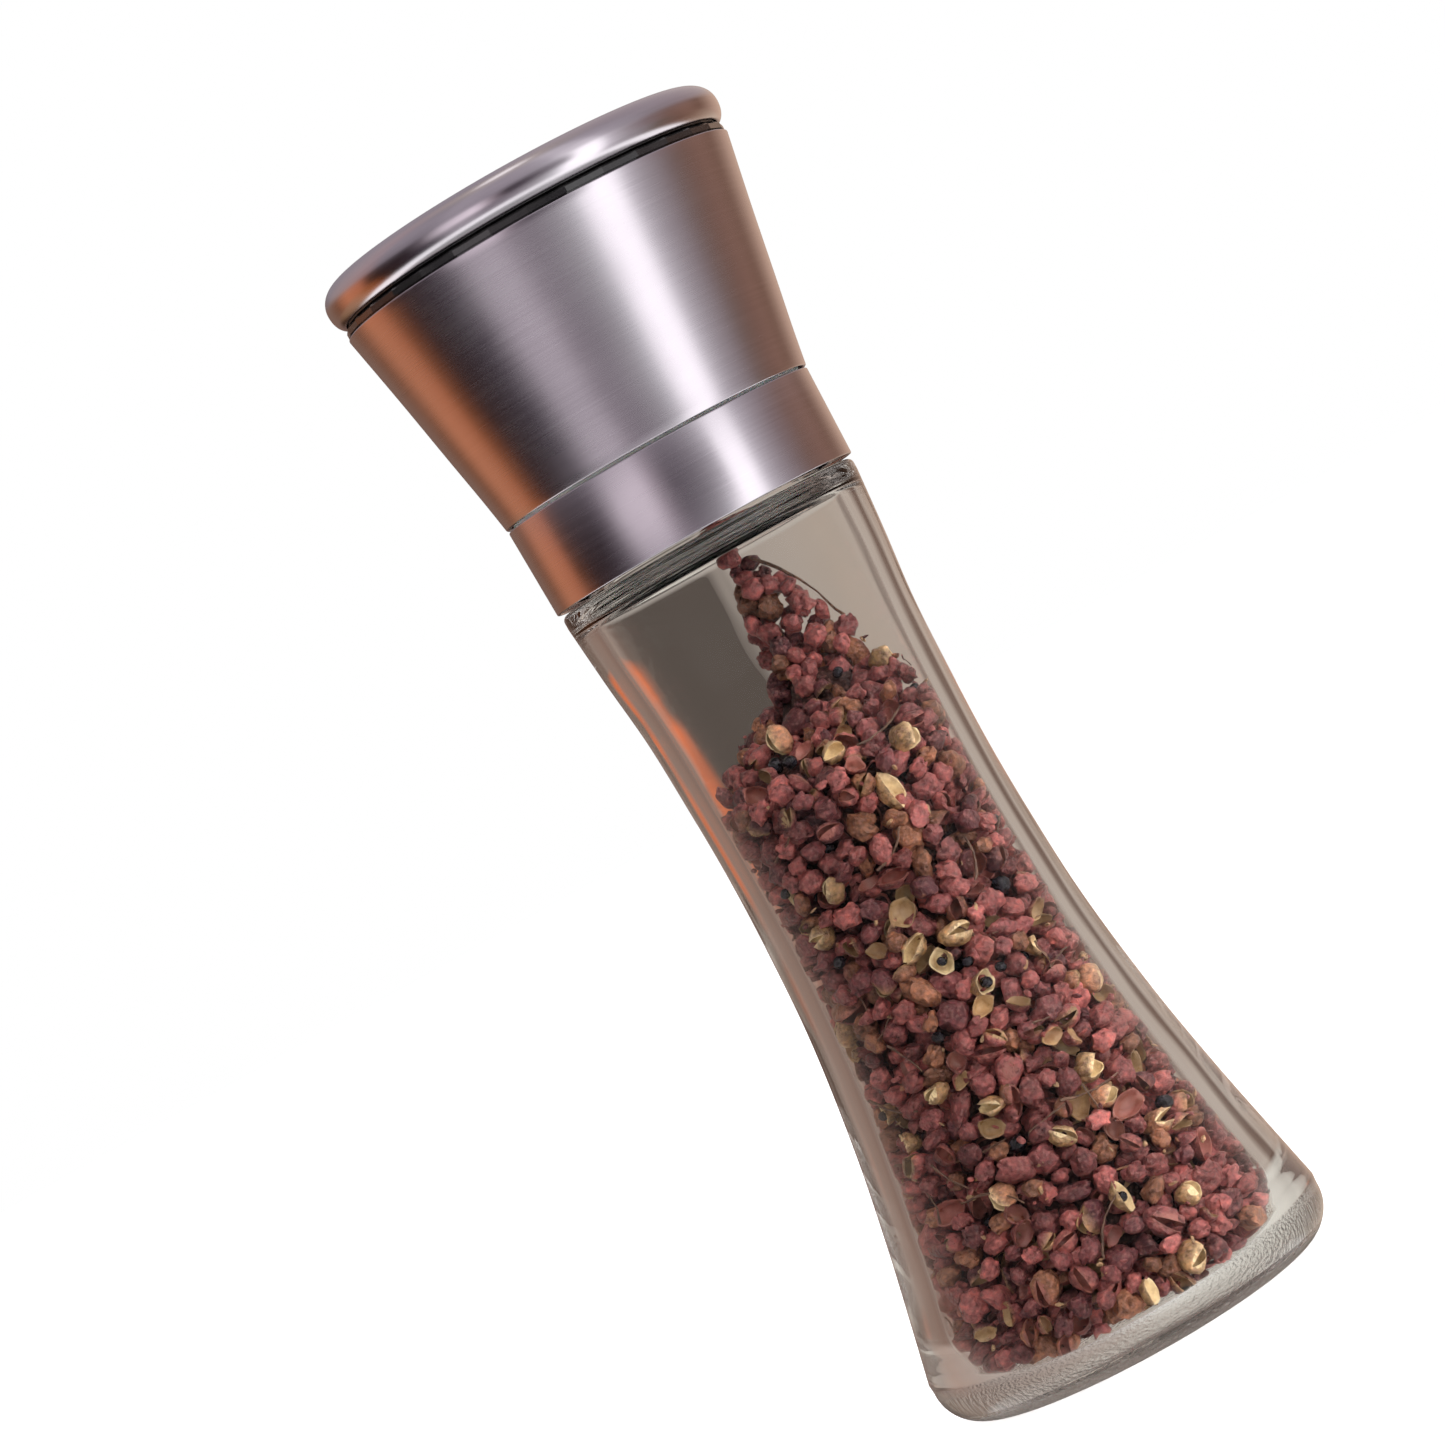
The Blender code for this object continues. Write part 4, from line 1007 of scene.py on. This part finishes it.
def on_load(x, z, inset):
    """The point at the front glass, or farther back where the load's slope first reaches that height."""
    spot = at_glass(x, z, inset)
    while heap_height(spot[0], spot[1]) < z + 0.6 and spot[1] < 15.0:
        spot[1] += 0.25
    return spot


class MILL_OT_pepper(bpy.types.Operator):
    """Fills the jar with dried husks, seeds and stems, packed against the glass"""
    bl_idname = "mill.pepper"
    bl_label = "Dried pepper"

    def execute(self, context):
        settings = context.scene.mill_pepper
        rng = np.random.default_rng(settings.seed)
        size = settings.husk_size / MM
        cell = size * 1.2
        grid = {}
        pods = [pod_shape(rng) for _ in range(POD_KINDS)]
        beans = [husk_shape(rng, rng.uniform(24, 60)) for _ in range(SPLIT_KINDS)]
        bowls = [husk_shape(rng, rng.uniform(120, 185)) for _ in range(SPLIT_KINDS)]
        seeds = [seed_shape(rng) for _ in range(SEED_KINDS)]
        pieces = ("husks_lower", "husks_upper", "husks_split", "pepper_seeds", "pepper_stems")
        groups = {piece: [] for piece in pieces}
        self.show_husks(rng, groups, grid, cell, beans, bowls, seeds)
        for x, y, z, width in scatter(rng, size, grid, cell):
            here = np.array([x, y, z])
            outward = np.array([x, y, 0.0]) / max(math.hypot(x, y), 0.1)
            color, rim = husk_tone(rng, settings)
            draw = rng.uniform()
            if draw < settings.open_share:
                kinds = beans if rng.uniform() < 0.6 else bowls
                turn = facing(rng, outward + rng.normal(size=3) * 0.7)
                name, shape = "husks_split", kinds[rng.integers(len(kinds))]
                lined = CREAM_LINING if rng.uniform() < 0.36 else ROSE_LINING
                rim = np.array(lined) * rng.uniform(0.55, 1.2)
            elif draw < settings.open_share + 0.03:
                turn, name, shape = random_turn(rng), "pepper_seeds", seeds[rng.integers(len(seeds))]
                width *= 0.6
            else:
                turn, shape = random_turn(rng), pods[rng.integers(len(pods))]
                name = "husks_lower" if z < LOWER_TOP else "husks_upper"
            points = inside_jar((shape[0] * width) @ turn.T + here)
            groups[name].append((points, *shape[1:], color, rim))
        self.crumbs(rng, groups["husks_split"], pods, settings)
        self.stems(rng, groups["pepper_stems"])
        skin, lining = husk_skin(), husk_lining()
        finishes = {"pepper_seeds": (seed_coat(),), "pepper_stems": (twig_bark(),)}
        for name, group in groups.items():
            piece = joined(name, group, finishes.get(name, (skin, lining)))
            if name == "husks_lower":
                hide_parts("peppercorn_fill")
        self.core(skin, size)
        return {"FINISHED"}

    def show_husks(self, rng, groups, grid, cell, beans, bowls, seeds):
        """The split husks that show their lining through the front glass."""
        for n, (x, z, width, kind) in enumerate(SHOWN_HUSKS):
            kinds = bowls if kind == "bowl" else beans
            here = on_load(x, z, width * 0.42)
            outward = np.array([here[0] * 0.35, -1.0, 0.1]) + rng.normal(size=3) * 0.18
            shape = kinds[n % len(kinds)]
            points = inside_jar((shape[0] * width) @ facing(rng, outward).T + here)
            color = np.array(SHOWN_PEACH if kind == "peach" else SHOWN_CREAM) * rng.uniform(0.8, 1.15)
            rim = np.array(SHOWN_EDGE) * rng.uniform(0.85, 1.1)
            groups["husks_split"].append((points, *shape[1:], color, rim))
            add_spot(grid, cell, (*here, width * 0.96))
            if kind == "bowl" and n % 3 == 0:
                seed = seeds[n % len(seeds)]
                inner = here + (outward / np.linalg.norm(outward)) * width * 0.02
                grain = inside_jar((seed[0] * width * 0.42) @ random_turn(rng).T + inner)
                groups["pepper_seeds"].append((grain, *seed[1:], *SEED_BLACK))

    def crumbs(self, rng, group, pods, settings):
        """Broken bits that fill the gaps against the glass and lie on the heap."""
        for _ in range(CRUMBS):
            z = rng.uniform(FLOOR + 1.5, 112.0)
            a = rng.uniform(0, TURN)
            wide = float(cavity_radius(np.array(z))) - rng.uniform(0.5, 1.4)
            here = np.array([wide * math.cos(a), wide * math.sin(a), z])
            if here[2] > float(heap_height(here[0], here[1])) - 0.5:
                continue
            shape = pods[rng.integers(len(pods))]
            width = rng.uniform(0.7, 1.7)
            flat = shape[0] * width * np.array([1.0, rng.uniform(0.35, 0.8), rng.uniform(0.3, 0.7)])
            color, rim = husk_tone(rng, settings)
            if rng.uniform() < 0.4:
                color, rim = STRAW
            group.append((inside_jar(flat @ random_turn(rng).T + here), *shape[1:], color, rim))

    def stems(self, rng, group):
        """The placed stems, the one that leans over the heap, and loose ones all round."""
        for (x0, z0), (x1, z1), bow in STEMS:
            ends = (on_load(x0, z0, 0.55), on_load(x1, z1, 0.55))
            shape = stem_shape(rng, ends, bow, 0.34, out_of=FRONT)
            group.append((inside_jar(shape[0]), *shape[1:], *STEM_BROWN))
        leaning = stem_shape(rng, LEANING_STEM, -0.9, 0.46, out_of=FRONT)
        group.append((inside_jar(leaning[0]), *leaning[1:], *STEM_BROWN))
        for _ in range(LOOSE_STEMS):
            z = rng.uniform(FLOOR + 3, 108.0)
            a = rng.uniform(0, TURN)
            wide = float(cavity_radius(np.array(z))) - 0.8
            here = np.array([wide * math.cos(a), wide * math.sin(a), z])
            level = np.array([-math.sin(a), math.cos(a), 0.0])
            reach = (level * rng.normal() + np.array([0, 0, 1]) * rng.normal())
            reach *= rng.uniform(1.2, 3.4) / np.linalg.norm(reach)
            if here[2] + reach[2] > float(heap_height(here[0], here[1])):
                continue
            bow = rng.normal() * 0.5
            shape = stem_shape(rng, (here - reach, here + reach), bow, rng.uniform(0.16, 0.34), steps=6)
            group.append((inside_jar(shape[0]), *shape[1:], *STEM_BROWN))

    def core(self, skin, size):
        """The unseen middle of the load, as one lump painted dark: painted shade for the depths among the
        husks.
        """
        bm = bmesh.new()
        bmesh.ops.create_icosphere(bm, subdivisions=5, radius=1.0)
        inset = size * 1.4
        for vert in bm.verts:
            x, y, z = vert.co
            height = CORE_FOOT + inset * 0.6 + (z * 0.5 + 0.5) * (CORE_RISE - inset)
            wide = max(0.5, float(cavity_radius(np.array(height))) - inset)
            shrink = min(1.0, math.sqrt(max(0.0, 1 - z * z)) * 3.0)
            flat = math.hypot(x, y) or 1.0
            px, py = x / flat * wide * shrink, y / flat * wide * shrink
            height = min(height, float(heap_height(px, py)) - inset * 0.7)
            vert.co = (px * MM, py * MM, height * MM)
        core = solid("husks_core", bm, skin)
        # The core's colour is painted shade, darker than any husk.
        tone = core.data.attributes.new("husk_color", "FLOAT_COLOR", "POINT")
        count = len(core.data.vertices)
        tone.data.foreach_set("color", np.tile(CORE_PAINTED_SHADE, (count, 1)).ravel())
        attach(core, "jar")


class MILL_OT_steel(bpy.types.Operator):
    """Spins the brushed steel cap, head and collar"""
    bl_idname = "mill.steel"
    bl_label = "Steel shells"

    def execute(self, context):
        settings = context.scene.mill_metal
        tone, rough = tuple(settings.steel), settings.brushing
        steel = brushed_steel("brushed_shell", tone, rough)
        cap_steel = brushed_steel("brushed_cap", tone, rough * 0.8, 1800.0)

        ring = eased([(23.95, 132.4), (24.55, 132.4), (24.9, 146.4), (24.3, 146.4)], STEEL_EDGE)
        sleeve = turned("collar_ring", ring, steel, STEEL_STEPS)
        self.place(sleeve, "collar", "collar_sleeve")

        outside, inside = stations(HEAD_OUTLINE, 26), stations(HEAD_OUTLINE, 26, SHEET)
        shell = turned("head_skin", eased(outside + inside[::-1], STEEL_EDGE), steel, STEEL_STEPS)
        self.place(shell, "head", "head_shell")

        outer = (arc((30.9, 186.7), (1.6, 2.7), -78, 0, 10) + arc((29.0, 186.9), (3.5, 3.3), 2, 88, 16)
                 + [(24.0, 190.28), (16.0, 190.38), (8.0, 190.45), (0.0, 190.5)])
        inner = [(0.0, 189.9), (16.0, 189.8), (28.9, 189.6)] + arc((29.0, 186.9), (2.9, 2.7), 88, 0, 8)
        inner += [(31.5, 185.6), (30.95, 184.1)]
        lid = turned("cap_skin", inner + outer, cap_steel, STEEL_STEPS)
        self.place(lid, "cap", "cap_shell")
        return {"FINISHED"}

    def place(self, piece, body, node):
        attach(piece, body)
        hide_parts(node)


class MILL_OT_fittings(bpy.types.Operator):
    """Gives the carried-over inner parts their plastics, ceramics, metals and rubber"""
    bl_idname = "mill.fittings"
    bl_label = "Inner fittings"

    def execute(self, context):
        plastic = black_plastic("black_plastic")
        gloss = black_plastic("black_gloss", 0.006, 0.2, 0.4)
        finishes = {
            "head_liner": gloss, "collar_insert": gloss, "cap_liner": plastic, "drive_spider": plastic,
            "burr_driver": plastic, "adjuster_knob": gloss, "burr_retainer": plastic,
            "inner_burr": ceramic("burr_ceramic"), "outer_burr": ceramic("ring_ceramic"),
            "neck_seal": silicone("gasket"), "thrust_washer": silicone("washer"),
            "cap_seal": silicone("cap_ring"),
            "spindle": turned_metal("spindle_steel", (0.56, 0.55, 0.55), 0.26),
            "burr_spring": turned_metal("spring_wire", (0.5, 0.5, 0.5), 0.22),
            "retaining_ring": turned_metal("ring_steel", (0.42, 0.42, 0.43), 0.32),
            "knob_washer": turned_metal("washer_steel", (0.56, 0.55, 0.55), 0.28),
            "knob_nut": turned_metal("nut_brass", (0.72, 0.52, 0.24), 0.28),
        }
        for node, material in finishes.items():
            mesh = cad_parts[node].data
            mesh.materials.clear()
            mesh.materials.append(material)
        return {"FINISHED"}


class MILL_PT_panel(bpy.types.Panel):
    """Lists the mill's settings and steps"""
    bl_idname = "MILL_PT_panel"
    bl_label = "Pepper mill"
    bl_space_type = "VIEW_3D"
    bl_region_type = "UI"
    bl_category = "Mill"

    def draw(self, context):
        for group in ("mill_jar", "mill_pepper", "mill_metal"):
            settings = getattr(context.scene, group)
            for name in settings.__annotations__:
                self.layout.prop(settings, name)
        for step in STEPS:
            self.layout.operator(step.bl_idname)


STEPS = (MILL_OT_stage, MILL_OT_jar, MILL_OT_pepper, MILL_OT_steel, MILL_OT_fittings)
CLASSES = (MillJar, MillPepper, MillMetal, *STEPS, MILL_PT_panel)


def register():
    for cls in CLASSES:
        bpy.utils.register_class(cls)
    bpy.types.Scene.mill_jar = bpy.props.PointerProperty(type=MillJar)
    bpy.types.Scene.mill_pepper = bpy.props.PointerProperty(type=MillPepper)
    bpy.types.Scene.mill_metal = bpy.props.PointerProperty(type=MillMetal)


def unregister():
    del bpy.types.Scene.mill_metal
    del bpy.types.Scene.mill_pepper
    del bpy.types.Scene.mill_jar
    for cls in reversed(CLASSES):
        bpy.utils.unregister_class(cls)


def main():
    register()
    for step in STEPS:
        group, name = step.bl_idname.split(".")
        getattr(getattr(bpy.ops, group), name)()


if __name__ == "__main__":
    main()
